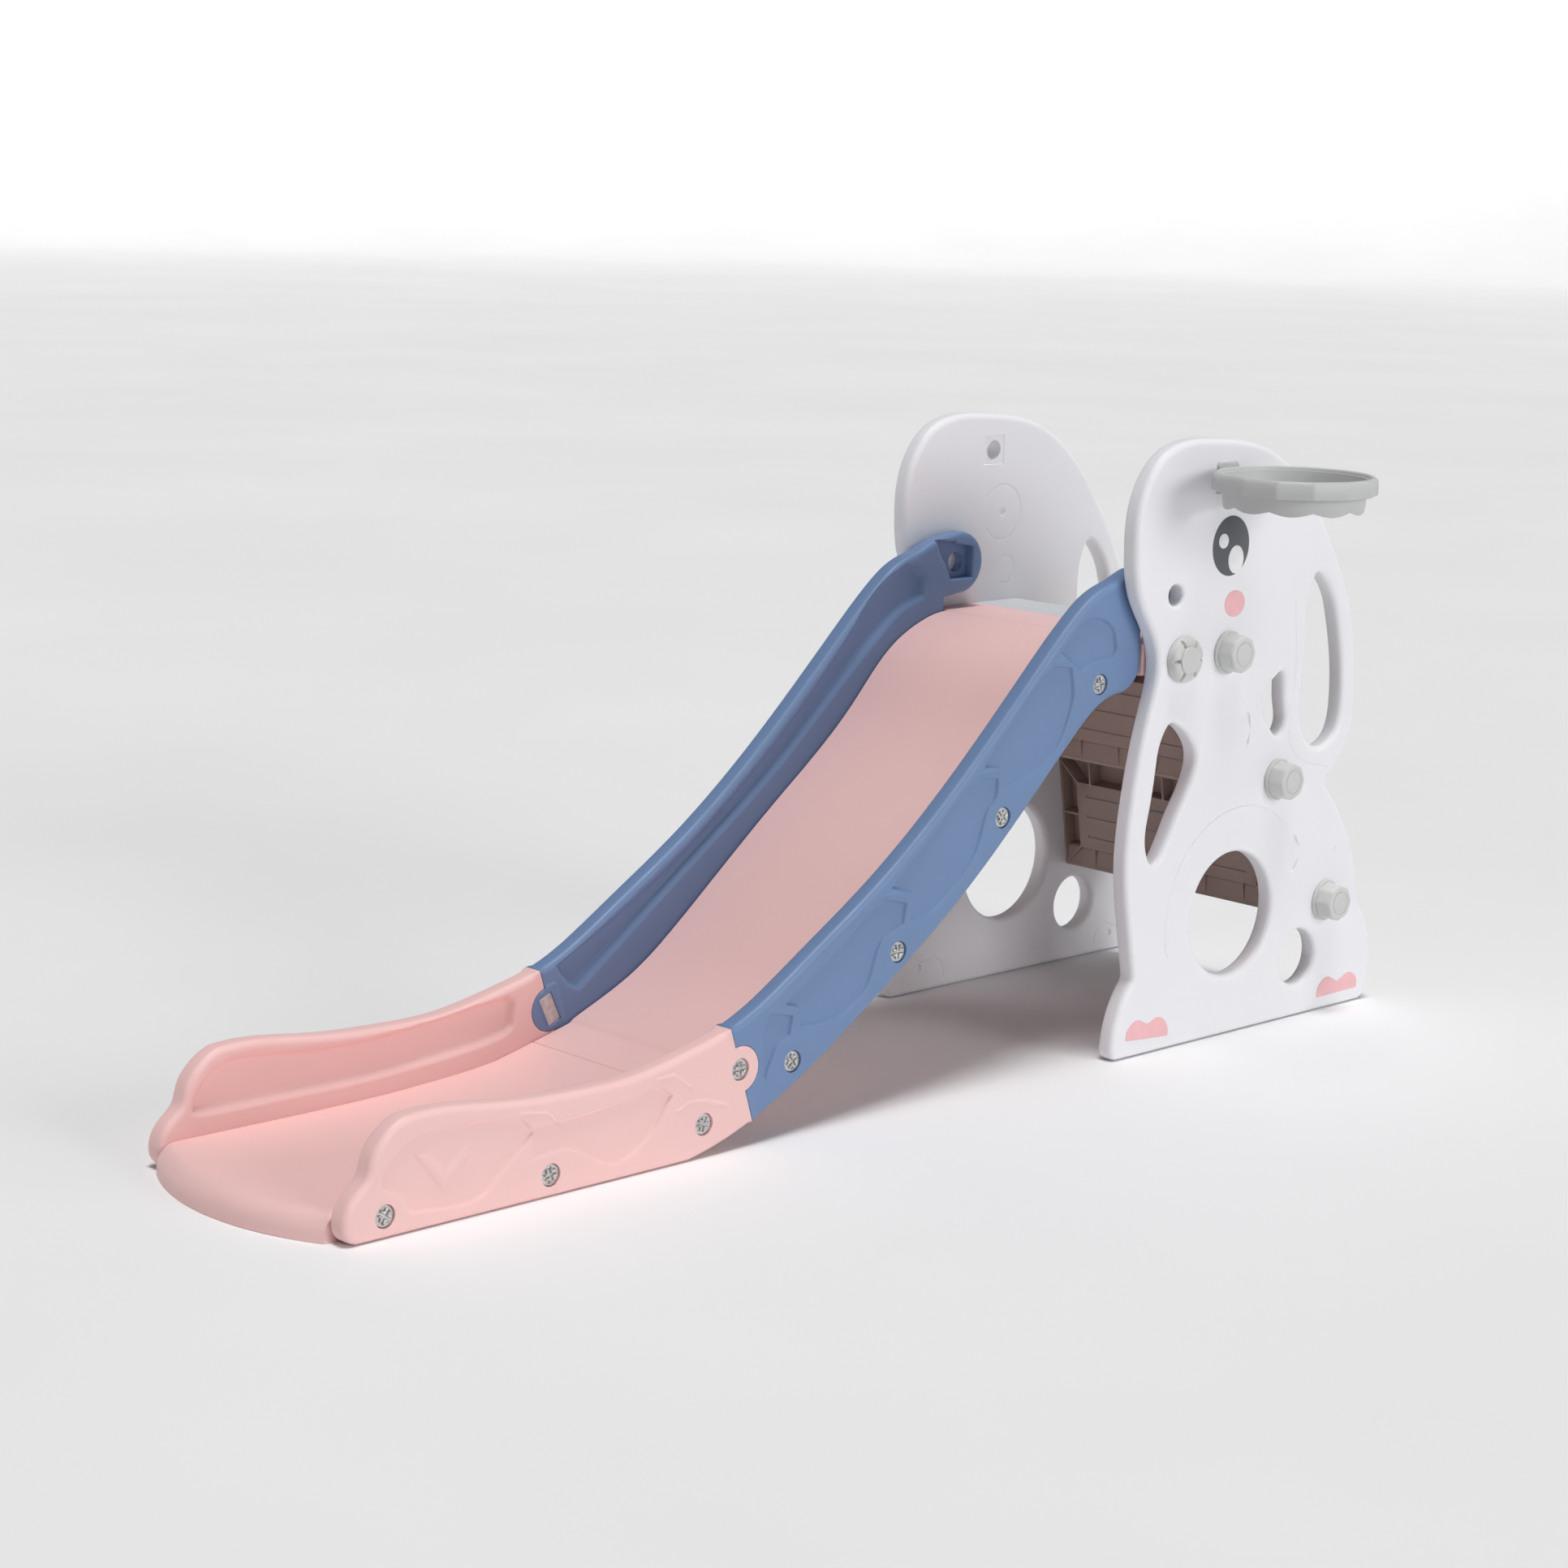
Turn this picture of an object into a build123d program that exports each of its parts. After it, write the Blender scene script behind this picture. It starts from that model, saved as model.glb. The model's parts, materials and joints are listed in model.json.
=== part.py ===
"""Toddler slide: two moulded side panels, steps, a platform, a two-piece slide, rails, a hoop.

Millimetres.  X runs along the slide, from the exit towards the steps, Y across it, Z up.  The
saved origin is on the floor, on the centre line, at the slide's exit.  Shapes are drawn with X
from the tower's middle instead (TOWER_X from there), so the slide lies at negative X.
Pieces of the left side, at -Y, are drawn once and mirrored to make those of the right.
"""
import os

from build123d import *

# ---- driving dimensions -------------------------------------------------------------------
TOWER_X = 1400.0                 # the slide's exit to the middle of the tower
WALL = 2.5                       # wall of every blow-moulded hollow part
HOLLOW_STEP = 9.0                # length of the straight stretches of a hollow's outline
GAP = 0.3                        # play where two pieces lie side by side
PANEL_OUT = 213.0                # centre plane to the outer face of a side panel
PANEL_THICK = 26.0
PANEL_IN = PANEL_OUT - PANEL_THICK
RAIL_OUT = 185.0                 # centre plane to the outer face of a slide rail
RAIL_THICK = 28.0
RAIL_IN = RAIL_OUT - RAIL_THICK
RAIL_MID = RAIL_OUT - RAIL_THICK / 2
BED_HALF = RAIL_IN - 0.5         # half width of the sliding surface
BED_THICK = 34.0
BETWEEN = PANEL_IN - GAP         # half width of what fits between the panels
BEYOND = 1500.0                  # a length that reaches past the end of any piece

STEP_RUN = 116.5                 # one step to the next, along X
STEP_RISE = 179.0                # one step to the next, along Z
LOW_STEP = (182.0, 153.0)        # knob axis of the lowest step, X and Z
UP_STEP = (LOW_STEP[0] - STEP_RUN, LOW_STEP[1] + STEP_RISE)
DECK_AXIS = (UP_STEP[0] - STEP_RUN, UP_STEP[1] + STEP_RISE)
KNOB_AXES = {"deck": DECK_AXIS, "upper": UP_STEP, "lower": LOW_STEP}
TREAD_ABOVE = 20.0               # knob axis to the top of its tread
TREAD_BELOW = 12.0
TREAD_FRONT = 36.0               # knob axis to the climbing edge of the tread
TREAD_BACK = 72.0                # knob axis to the slide-side edge of the tread
TREAD_SKIN = 3.0                 # walls and ribs of the ribbed mouldings
TREAD_ROUND = 5.0
RISER_TALL = 162.0
RISER_LEAN = 9.0                 # degrees, its top towards the slide
RISER_DEEP = 24.0
RISER_BOX = (314.0, 96.0, 76.0)  # raised middle box: width, height, height of its centre
BRACE = (44.0, 12.0)             # a corner brace's length, and its middle's distance off the box
RIB_PITCH = 66.0
LOUVRE_PITCH = 29.5
LOUVRE_WIDE = 282.0
DECK_Z = DECK_AXIS[1] + TREAD_ABOVE

CAP_AXIS = (-141.0, 510.0)       # fastener of the slide's top end
EAR_AXIS = (-157.0, 592.0)       # open bolt hole through panel and rail
EAR_R = 41.0
EAR_HOLE_R = 13.5
EAR_SEAT = (42.0, 12.0)          # side and depth of the square recess behind the hole
HOOP_AXIS = (-71.0, 735.5)       # socket that the hoop plugs into
HOOP_HOLE_R = 13.0
HOOP_PLATE = 38.0                # square seat round the socket
SEAT_DEEP = 2.0
WAIST_R = 10.0                   # rounds the corners where body, rump and feet meet
BELLY_HOLE = (-14.5, 162.0, 82.0)    # X, Z and radius of the big round opening
FOOT_HOLE = (130.0, 82.0, 37.5)
GRIP_SLOTS = [(-7.0, 404.0), (107.0, 226.0)]
GRIP_SLOT = (50.0, 17.5, 1.2)    # length, width and depth of the shallow upright slots

BOLT_R = 4.0
BOLT_TIP = 2.0                   # how far a bolt shows past its nut
BOLT_CHAMFER = 0.8
BORE_R = BOLT_R + 0.06           # running fit of a turning bolt
BOSS_R = 11.0                    # solid pillar round a bolt inside a hollow moulding
NUT_FLATS = 14.0
NUT_THICK = 7.0
NUT_DEPTH = 22.0                 # panel's inner face to the near side of the nut
KNOB_R = 27.5                    # flange
KNOB_GRIP_R = 25.5
KNOB_FLANGE = 4.0
KNOB_TALL = 27.0
KNOB_SIDES = 8
KNOB_CHAMFER = 2.5
CAP_R = 29.4
CAP_TALL = 15.0
CAP_DISC_R = 17.5
CAP_DISC_STEP = 2.0              # how far the disc stands out of the cap
CAP_ROUND = 6.0
CAP_NOTCHES = 6

SCREW_HEAD_R = 13.0
SCREW_HEAD_T = 4.0
SCREW_R = 2.5
SCREW_CROSS = 1.2                # height of the raised bars on its head
SCREW_PILLAR_R = 5.5
SCREW_GRIP = 16.0                # how far a rail screw reaches into the bed
BLUE_SCREWS = [(-263.0, 485.0), (-433.0, 337.0), (-608.0, 195.0), (-779.0, 90.0)]
PINK_SCREWS = [(-917.0, 40.0), (-1143.0, 25.0), (-1369.0, 25.0)]
LAP_AXIS = (-862.0, 95.0)        # screw that ties the two rails together
LAP_R = 28.0
LAP_LEAN = 17.5                  # degrees, the seam's top towards the exit
NUT_PLATE = (19.0, 38.0, 4.0)
NUT_PLATE_LEAN = 25.0

BED_SEAM_X = -890.0
BED_BLOCK = (-186.0, -100.3)     # the top end that fills the gap between the panels
BED_BLOCK_TALL = 42.0
EXIT_SIDE_X = -1408.0            # exit edge of the bed at its sides
EXIT_MID_X = -1468.0             # and in the middle
EXIT_TOP = 32.5
EXIT_FLOOR = 0.0                 # underside of the flat run-out
LIP_R = 24.0
RUN_OUT_HEEL_X = -1000.0         # where the underside leaves the floor

HOOP_Y = -321.0                  # centre of the ring
HOOP_R = 103.0
HOOP_FACETS = 14
HOOP_CORNER_R = 25.0             # rounds the corners between the facets
HOOP_EDGE_R = 4.0
HOOP_BAND = (728.0, 750.0)
SKIRT_R = 89.0
SKIRT_Z = 704.0
SCALLOPS = 10
SCALLOP_R = 16.0
SCALLOP_TALL = 8.0
RING_WALL = 3.0
HOOP_FOOT = 4.0                  # thickness of the plate in the panel's seat
HOOP_PLUG_R = HOOP_HOLE_R - 0.06

VENT_R = 2.0                     # blow holes, which open every hollow moulding
PANEL_VENTS = [(-184.0, 34.5), (209.0, 27.5), (-51.0, 651.0)]
RAIL_VENTS = [(-1250.0, 15.0), (-505.0, 275.0)]

INLAY_T = 0.6                    # thickness of the face and toe inlays
EYE = (-55.5, 648.0, 36.0, 38.5)     # X, Z, half width, half height
HIGHLIGHTS = [(-71.0, 655.0, 9.5, 9.5), (-45.0, 630.0, 15.0, 18.0)]
CHEEK = (-42.0, 573.0, 20.0, 17.0)
TOE_PADS = [[(-217, 24), (-212, 41), (-193, 48), (-177, 41), (-155, 46), (-139, 36), (-135, 18)],
            [(177, 18), (182, 36), (201, 43), (220, 35), (243, 43), (259, 37), (263, 19)]]

# ---- outlines, X and Z --------------------------------------------------------------------
PANEL_BACK = [(-243, 14), (-239, 42), (-227, 74), (-207, 102)]
PANEL_BODY = [(-207, 102), (-216, 150), (-231, 250), (-224, 335), (-200, 440), (-186, 505),
              (-198, 545), (-226, 590), (-238, 655), (-232, 712), (-190, 770), (-80, 785),
              (12, 770), (90, 722), (150, 650), (204, 555), (226, 445), (222, 383),
              (209, 358), (168, 318)]
PANEL_RUMP = [(168, 318), (209, 270), (243, 210), (258, 142)]
PANEL_TOE = [(258, 142), (285, 101), (294, 66), (291, 30), (286, 12)]
PANEL_FOOT = [(272, 0), (-229, 0), (-239, 4)]
HANDLE_HOLE = [(128, 597), (117, 570), (115, 500), (110, 420), (120, 386), (150, 366),
               (182, 378), (195, 425), (191, 480), (176, 540), (152, 585)]
LEAF_HOLE = [(-150, 428), (-114, 403), (-103, 380), (-107, 357), (-134, 311), (-158, 268),
             (-178, 249), (-189, 264), (-187, 320), (-178, 375), (-165, 417)]
BEAN_HOLE = [(64, 474), (44, 461), (29, 443), (30, 424), (45, 406), (66, 390), (76, 402),
             (72, 440)]
RAIL_TOP = [(-1342, 128), (-1310, 130), (-1210, 120), (-1100, 113.5), (-1030, 114.5),
            (-980, 121.5), (-925, 133), (-872, 147), (-770, 202), (-640, 285), (-505, 393),
            (-372, 519), (-305, 580), (-262, 605), (-205, 625),
            (EAR_AXIS[0], EAR_AXIS[1] + EAR_R)]
RAIL_NOSE = [(-1404, 0), (-1421, 13), (-1414, 47), (-1391, 71), (-1386, 88), (-1368, 113),
             (-1342, 128)]
RAIL_END = [(-187, 547), (-187, 497), (-198, 480)]
RAIL_FOOT = [(-222, 469), (-262, 457), (-297, 430), (-393, 339), (-490, 253), (-632, 150),
             (-765, 66), (-851, 25), (-940, 0)]
CHUTE_TOP = [(-185, DECK_Z), (-241, 519), (-285, 496), (-357, 425), (-505, 300), (-675, 160),
             (-755, 109), (-832, 75), (BED_SEAM_X, 59)]
RUN_OUT = [(BED_SEAM_X, 59), (-959, 44), (-1081, 35), (-1198, EXIT_TOP)]

os.makedirs("parts", exist_ok=True)


def save(part, name):
    """Export a piece, moved so that the origin is at the slide's exit."""
    placed = Pos(TOWER_X, 0, 0) * part
    placed.label = name
    export_step(placed, f"parts/{name}.step")


def save_pair(part, name):
    """The left piece as drawn, and its mirror image for the right side."""
    save(part, f"left_{name}")
    save(mirror(part, about=Plane.XZ), f"right_{name}")


def upright(y):
    """An upright sketch plane on the left side, y from the centre; its normal points to -Y."""
    return Plane.XZ.offset(y)


def drawn_in(face):
    """The face drawn in by one wall thickness, its outlines as short straight stretches."""
    inner = offset(face, amount=-WALL, mode=Mode.PRIVATE).face()
    outlines = [inner.outer_wire(), *inner.inner_wires()]
    with BuildSketch() as hollow:
        for outline in outlines:
            count = max(16, round(outline.length / HOLLOW_STEP))
            with BuildLine():
                Polyline(*[outline @ (i / count) for i in range(count)], close=True)
            make_face(mode=Mode.ADD if outline is outlines[0] else Mode.SUBTRACT)
    return hollow.sketch


# ---- side panels --------------------------------------------------------------------------
def panel_face():
    """The panel's outline with its five large openings."""
    with BuildSketch() as face:
        with BuildLine():
            toe_back = Spline(*PANEL_BACK)
            Spline(*PANEL_BODY)
            Spline(*PANEL_RUMP)
            toe = Spline(*PANEL_TOE)
            TangentArc(toe @ 1, PANEL_FOOT[0], tangent=toe % 1)
            Line(*PANEL_FOOT[:2])
            ThreePointArc(*PANEL_FOOT[1:], toe_back @ 0)
        make_face()
        waists = [PANEL_BODY[0], PANEL_BODY[-1], PANEL_TOE[0]]
        fillet([v for v in face.vertices() if (round(v.X), round(v.Y)) in waists], WAIST_R)
        for opening in (HANDLE_HOLE, LEAF_HOLE, BEAN_HOLE):
            with BuildLine():
                Spline(*opening, periodic=True)
            make_face(mode=Mode.SUBTRACT)
        for x, z, radius in (BELLY_HOLE, FOOT_HOLE):
            with Locations((x, z)):
                Circle(radius, mode=Mode.SUBTRACT)
    return face.sketch


def panel_solid_spots():
    """Where the hollow panel is solid right through: round each bolt, the ear and the socket."""
    with BuildSketch() as spots:
        with Locations(*KNOB_AXES.values(), CAP_AXIS):
            Circle(BOSS_R)
        with Locations(EAR_AXIS):
            Circle(EAR_HOLE_R + WALL)
        with Locations(HOOP_AXIS):
            Rectangle(HOOP_PLATE + 2 * WALL, HOOP_PLATE + 2 * WALL)
    return spots.sketch


def side_panel():
    face = panel_face()
    with BuildPart() as panel:
        with BuildSketch(upright(PANEL_IN)):
            add(face)
        extrude(amount=PANEL_THICK)
        with BuildSketch(upright(PANEL_IN + WALL)):
            add(drawn_in(face))
            add(panel_solid_spots(), mode=Mode.SUBTRACT)
        extrude(amount=PANEL_THICK - 2 * WALL, mode=Mode.SUBTRACT)
        with BuildSketch(upright(PANEL_IN)):
            with Locations(*KNOB_AXES.values(), CAP_AXIS):
                Circle(BORE_R)
            with Locations(EAR_AXIS):
                Circle(EAR_HOLE_R)
            with Locations(HOOP_AXIS):
                Circle(HOOP_HOLE_R)
        extrude(amount=PANEL_THICK, mode=Mode.SUBTRACT)
        for depth in (PANEL_IN, PANEL_OUT - SEAT_DEEP):
            with BuildSketch(upright(depth)):
                with Locations(HOOP_AXIS):
                    Rectangle(HOOP_PLATE, HOOP_PLATE)
            extrude(amount=SEAT_DEEP, mode=Mode.SUBTRACT)
        with BuildSketch(upright(PANEL_OUT - GRIP_SLOT[2])):
            with Locations(*GRIP_SLOTS):
                SlotOverall(GRIP_SLOT[0], GRIP_SLOT[1], rotation=90)
        extrude(amount=GRIP_SLOT[2], mode=Mode.SUBTRACT)
        with BuildSketch(upright(PANEL_IN)):
            with Locations(*PANEL_VENTS):
                Circle(VENT_R)
        extrude(amount=2 * WALL, mode=Mode.SUBTRACT)
    return panel.part


save_pair(side_panel(), "side_panel")


# ---- face and toe inlays ------------------------------------------------------------------
def ellipses(outlines):
    """Ellipses given by centre, half width and half height."""
    with BuildSketch() as spots:
        for x, z, half_wide, half_tall in outlines:
            with Locations((x, z)):
                Ellipse(half_wide, half_tall)
    return spots.sketch


def toe_pads():
    """Two-lobed pads with a straight base."""
    with BuildSketch() as pads:
        for lobes in TOE_PADS:
            with BuildLine():
                Spline(*lobes)
                Line(lobes[-1], lobes[0])
            make_face()
    return pads.sketch


def inlay(shape, level=0):
    """Thin plates on the panel's outer face."""
    with BuildPart() as plates:
        with BuildSketch(upright(PANEL_OUT + level)):
            add(shape)
        extrude(amount=INLAY_T)
    return plates.part


save_pair(inlay(ellipses([EYE])), "eye")
save_pair(inlay(ellipses(HIGHLIGHTS), level=INLAY_T), "eye_highlights")
save_pair(inlay(ellipses([CHEEK])), "cheek")
save_pair(inlay(toe_pads()), "toe_pads")


# ---- what holds the cross pieces between the panels ---------------------------------------
def boss_pair(axis):
    """Solid bosses at both ends of a bolt axis."""
    reach = NUT_DEPTH + NUT_THICK
    with BuildPart() as bosses:
        with BuildSketch(upright(BETWEEN - reach)):
            with Locations(axis):
                Circle(BOSS_R)
        extrude(amount=reach)
        mirror(about=Plane.XZ)
    return bosses.part


def nut_space(axis):
    """The room for a bolt and its nut at both ends of an axis."""
    with BuildPart() as space:
        with BuildSketch(upright(PANEL_IN - NUT_DEPTH - 2 * NUT_THICK)):
            with Locations(axis):
                Circle(BORE_R)
        extrude(amount=NUT_DEPTH + 2 * NUT_THICK)
        with BuildSketch(upright(PANEL_IN - NUT_DEPTH - NUT_THICK - GAP)):
            with Locations(axis):
                RegularPolygon(NUT_FLATS / 2 + GAP / 2, 6, major_radius=False)
        extrude(amount=NUT_THICK + GAP)
        mirror(about=Plane.XZ)
    return space.part


def nuts(axes):
    """A hexagonal nut at both ends of every axis."""
    with BuildPart() as group:
        with BuildSketch(upright(PANEL_IN - NUT_DEPTH - NUT_THICK)):
            with Locations(*axes):
                RegularPolygon(NUT_FLATS / 2, 6, major_radius=False)
                Circle(BORE_R, mode=Mode.SUBTRACT)
        extrude(amount=NUT_THICK)
        mirror(about=Plane.XZ)
    return group.part


save(nuts(KNOB_AXES.values()), "step_nuts")
save(nuts([CAP_AXIS]), "slide_nuts")


# ---- steps and platform -------------------------------------------------------------------
def tread(axis, back):
    """A tread across the tower, open below, with cross ribs; back is its slide-side edge."""
    front = axis[0] + TREAD_FRONT
    top = axis[1] + TREAD_ABOVE
    bottom = axis[1] - TREAD_BELOW
    middle = (front + back) / 2
    ribs = int(2 * BETWEEN / RIB_PITCH)
    with BuildPart() as piece:
        with BuildSketch(upright(-BETWEEN)):
            with Locations((middle, (top + bottom) / 2)):
                RectangleRounded(front - back, top - bottom, TREAD_ROUND)
        extrude(amount=2 * BETWEEN)
        with BuildSketch(Plane.XY.offset(bottom)):
            with Locations((middle, 0)):
                Rectangle(front - back - 2 * TREAD_SKIN, 2 * BETWEEN - 2 * TREAD_SKIN)
                with GridLocations(0, RIB_PITCH, 1, ribs + 1):
                    Rectangle(front - back, TREAD_SKIN, mode=Mode.SUBTRACT)
        extrude(amount=top - bottom - TREAD_SKIN, mode=Mode.SUBTRACT)
        add(boss_pair(axis))
        add(nut_space(axis), mode=Mode.SUBTRACT)
    return piece.part


def riser_pockets():
    """The pockets of a riser's frame, all round its raised box, with the ribs left standing."""
    wide, tall, centre = RISER_BOX
    length, off_box = BRACE
    with BuildSketch() as pockets:
        with Locations((0, RISER_TALL / 2)):
            Rectangle(2 * BETWEEN - 2 * TREAD_SKIN, RISER_TALL - 2 * TREAD_SKIN)
        with Locations((0, centre)):
            Rectangle(wide, tall, mode=Mode.SUBTRACT)
            Rectangle(2 * BETWEEN, TREAD_SKIN, mode=Mode.SUBTRACT)
        with GridLocations(RIB_PITCH, 0, 5, 1):
            Rectangle(TREAD_SKIN, 2 * RISER_TALL, mode=Mode.SUBTRACT)
        for side in (1, -1):
            for end in (1, -1):
                corner = (side * (wide / 2 + off_box), centre + end * (tall / 2 + off_box))
                with Locations(corner):
                    Rectangle(length, TREAD_SKIN, rotation=45 * side * end, mode=Mode.SUBTRACT)
    return pockets.sketch


def riser(axis):
    """The leaning wall behind a tread: a ribbed frame round a raised, louvred box."""
    wide, tall, centre = RISER_BOX
    foot = Plane(origin=(axis[0] - TREAD_BACK, 0, axis[1] - TREAD_BELOW + TREAD_SKIN),
                 x_dir=(0, -1, 0), z_dir=(-1, 0, 0)).rotated((0, -RISER_LEAN, 0))
    with BuildPart() as wall:
        with BuildSketch(foot):
            with Locations((0, RISER_TALL / 2)):
                Rectangle(2 * BETWEEN, RISER_TALL)
        extrude(amount=-RISER_DEEP)
        with BuildSketch(foot):
            add(riser_pockets())
        extrude(amount=-(RISER_DEEP - TREAD_SKIN), mode=Mode.SUBTRACT)
        with BuildSketch(foot.offset(-TREAD_SKIN)):
            with Locations((0, centre)):
                Rectangle(wide - 2 * TREAD_SKIN, tall - 2 * TREAD_SKIN)
        extrude(amount=-(RISER_DEEP - 2 * TREAD_SKIN), mode=Mode.SUBTRACT)
        with BuildSketch(foot):
            with Locations((0, centre)):
                with GridLocations(0, LOUVRE_PITCH, 1, 3):
                    Rectangle(LOUVRE_WIDE, TREAD_SKIN)
        extrude(amount=-TREAD_SKIN / 2, mode=Mode.SUBTRACT)
    return wall.part


def step(axis):
    with BuildPart() as piece:
        add(tread(axis, axis[0] - TREAD_BACK))
        add(riser(axis))
        add(nut_space(axis), mode=Mode.SUBTRACT)
    return piece.part


save(step(LOW_STEP), "lower_step")
save(step(UP_STEP), "upper_step")
save(tread(DECK_AXIS, BED_BLOCK[1] + GAP), "platform")


# ---- the slide's two beds -----------------------------------------------------------------
def below(points, thick):
    """The inner points moved down by thick, square to the line through their neighbours."""
    moved = []
    for before, point, after in zip(points[:-2], points[1:-1], points[2:]):
        along = Vector(after[0] - before[0], after[1] - before[1]).normalized()
        moved.append((point[0] - along.Y * thick, point[1] + along.X * thick))
    return moved


def chute_section():
    """Side view of the steep bed, from the platform down to the seam."""
    start = CHUTE_TOP[0]
    seam = CHUTE_TOP[-1]
    with BuildSketch() as section:
        with BuildLine():
            Spline(*CHUTE_TOP, tangents=[(-1, 0), (-1, -0.25)])
            Line(seam, (seam[0], seam[1] - BED_THICK))
            Spline((seam[0], seam[1] - BED_THICK), *reversed(below(CHUTE_TOP, BED_THICK)),
                   (start[0], start[1] - BED_BLOCK_TALL))
            Line((start[0], start[1] - BED_BLOCK_TALL), start)
        make_face()
    return section.sketch


def run_out_section():
    """Side view of the flat bed, from the seam to past the exit."""
    seam = BED_SEAM_X - GAP
    beyond = EXIT_MID_X - BED_THICK
    with BuildSketch() as section:
        with BuildLine():
            Spline(*RUN_OUT, tangents=[(-1, -0.25), (-1, 0)])
            Polyline(RUN_OUT[-1], (beyond, EXIT_TOP), (beyond, EXIT_FLOOR), (RUN_OUT_HEEL_X, EXIT_FLOOR),
                     (BED_SEAM_X, RUN_OUT[0][1] - BED_THICK), RUN_OUT[0])
        make_face()
        with Locations((seam, 0)):
            Rectangle(BED_THICK, BEYOND, align=(Align.MIN, Align.CENTER),
                      mode=Mode.SUBTRACT)
    return section.sketch


def across(section, half):
    """A side view made solid from -half to +half."""
    with BuildPart() as slab:
        with BuildSketch(upright(-half)):
            add(section)
        extrude(amount=2 * half)
    return slab.part


def round_exit(slab, inset):
    """The flat bed's slab cut to its round exit edge, or a smaller one, inset from it."""
    side = EXIT_SIDE_X + inset
    with BuildPart() as piece:
        add(slab)
        with BuildSketch():
            with BuildLine():
                ThreePointArc((side, PANEL_IN), (EXIT_MID_X + inset, 0), (side, -PANEL_IN))
                Polyline((side, -PANEL_IN), (0, -PANEL_IN), (0, PANEL_IN), (side, PANEL_IN))
            make_face()
        extrude(amount=PANEL_IN, mode=Mode.INTERSECT)
    return piece.part


def bed(outside, hollow, screws):
    """A hollow bed between the rails, with a solid pillar for the end of each rail screw."""
    seam_z = RUN_OUT[0][1] - BED_THICK / 2
    with BuildPart() as piece:
        add(outside)
        add(hollow, mode=Mode.SUBTRACT)
        for side in (BED_HALF - SCREW_GRIP - WALL, -BED_HALF):
            with BuildSketch(upright(side)):
                with Locations(*screws):
                    Circle(SCREW_PILLAR_R)
            extrude(amount=SCREW_GRIP + WALL)
        for side in (BED_HALF - SCREW_GRIP, -BED_HALF):
            with BuildSketch(upright(side)):
                with Locations(*screws):
                    Circle(SCREW_R)
            extrude(amount=SCREW_GRIP, mode=Mode.SUBTRACT)
        with Locations((BED_SEAM_X, 0, seam_z)):
            Cylinder(VENT_R, 4 * WALL, rotation=(0, 90, 0), mode=Mode.SUBTRACT)
    return piece.part


def chute():
    """The steep bed, with the wider block at its top that is bolted between the panels."""
    section = chute_section()
    hollow = across(drawn_in(section), BED_HALF - WALL)
    near, far = BED_BLOCK
    middle = ((near + far) / 2, DECK_Z - BED_BLOCK_TALL / 2)
    with BuildPart() as piece:
        add(bed(across(section, BED_HALF), hollow, BLUE_SCREWS))
        with BuildSketch(upright(-BETWEEN)):
            with Locations(middle):
                Rectangle(far - near, BED_BLOCK_TALL)
        extrude(amount=2 * BETWEEN)
        with BuildSketch(upright(WALL - BETWEEN)):
            with Locations(middle):
                Rectangle(far - near - 2 * WALL, BED_BLOCK_TALL - 2 * WALL)
        extrude(amount=2 * (BETWEEN - WALL), mode=Mode.SUBTRACT)
        add(boss_pair(CAP_AXIS))
        add(nut_space(CAP_AXIS), mode=Mode.SUBTRACT)
        with Locations((middle[0], 0, DECK_Z - BED_BLOCK_TALL)):
            Cylinder(VENT_R, 4 * WALL, mode=Mode.SUBTRACT)
    return piece.part


def run_out():
    """The flat bed, rolled over at its round exit edge."""
    section = run_out_section()
    with BuildPart() as outside:
        add(round_exit(across(section, BED_HALF), 0))
        exit_face = outside.faces().filter_by(GeomType.CYLINDER).sort_by(Axis.X)[0]
        fillet(exit_face.edges().sort_by(Axis.Z)[-1], LIP_R)
    inner = across(drawn_in(section), BED_HALF - WALL)
    return bed(outside.part, round_exit(inner, LIP_R), PINK_SCREWS)


save(chute(), "upper_slide_bed")
save(run_out(), "lower_slide_bed")


# ---- side rails of the slide --------------------------------------------------------------
def rail_strip():
    """Side view of a whole rail, from the nose at the exit to the ear at the top."""
    ear_x, ear_z = EAR_AXIS
    foot = ear_z - EAR_R
    with BuildSketch() as strip:
        with BuildLine():
            Spline(*RAIL_NOSE)
            Spline(*RAIL_TOP, tangents=[(1, 0.15), (1, 0)])
            ThreePointArc(RAIL_TOP[-1], (ear_x + EAR_R, ear_z), (ear_x, foot))
            Polyline((ear_x, foot), *RAIL_END[:2])
            ThreePointArc(*RAIL_END[1:], RAIL_FOOT[0])
            Spline(*RAIL_FOOT)
            Line(RAIL_FOOT[-1], RAIL_NOSE[0])
        make_face()
    return strip.sketch


def exit_region(outer, play):
    """The exit side of the rails' slanted seam; the outer half adds a round boss to it."""
    with BuildSketch() as region:
        with Locations(LAP_AXIS):
            Rectangle(BEYOND, BEYOND, rotation=LAP_LEAN, align=(Align.MAX, Align.CENTER))
            Circle(LAP_R, mode=Mode.ADD if outer else Mode.SUBTRACT)
    return offset(region.sketch, amount=play, mode=Mode.PRIVATE) if play else region.sketch


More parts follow.
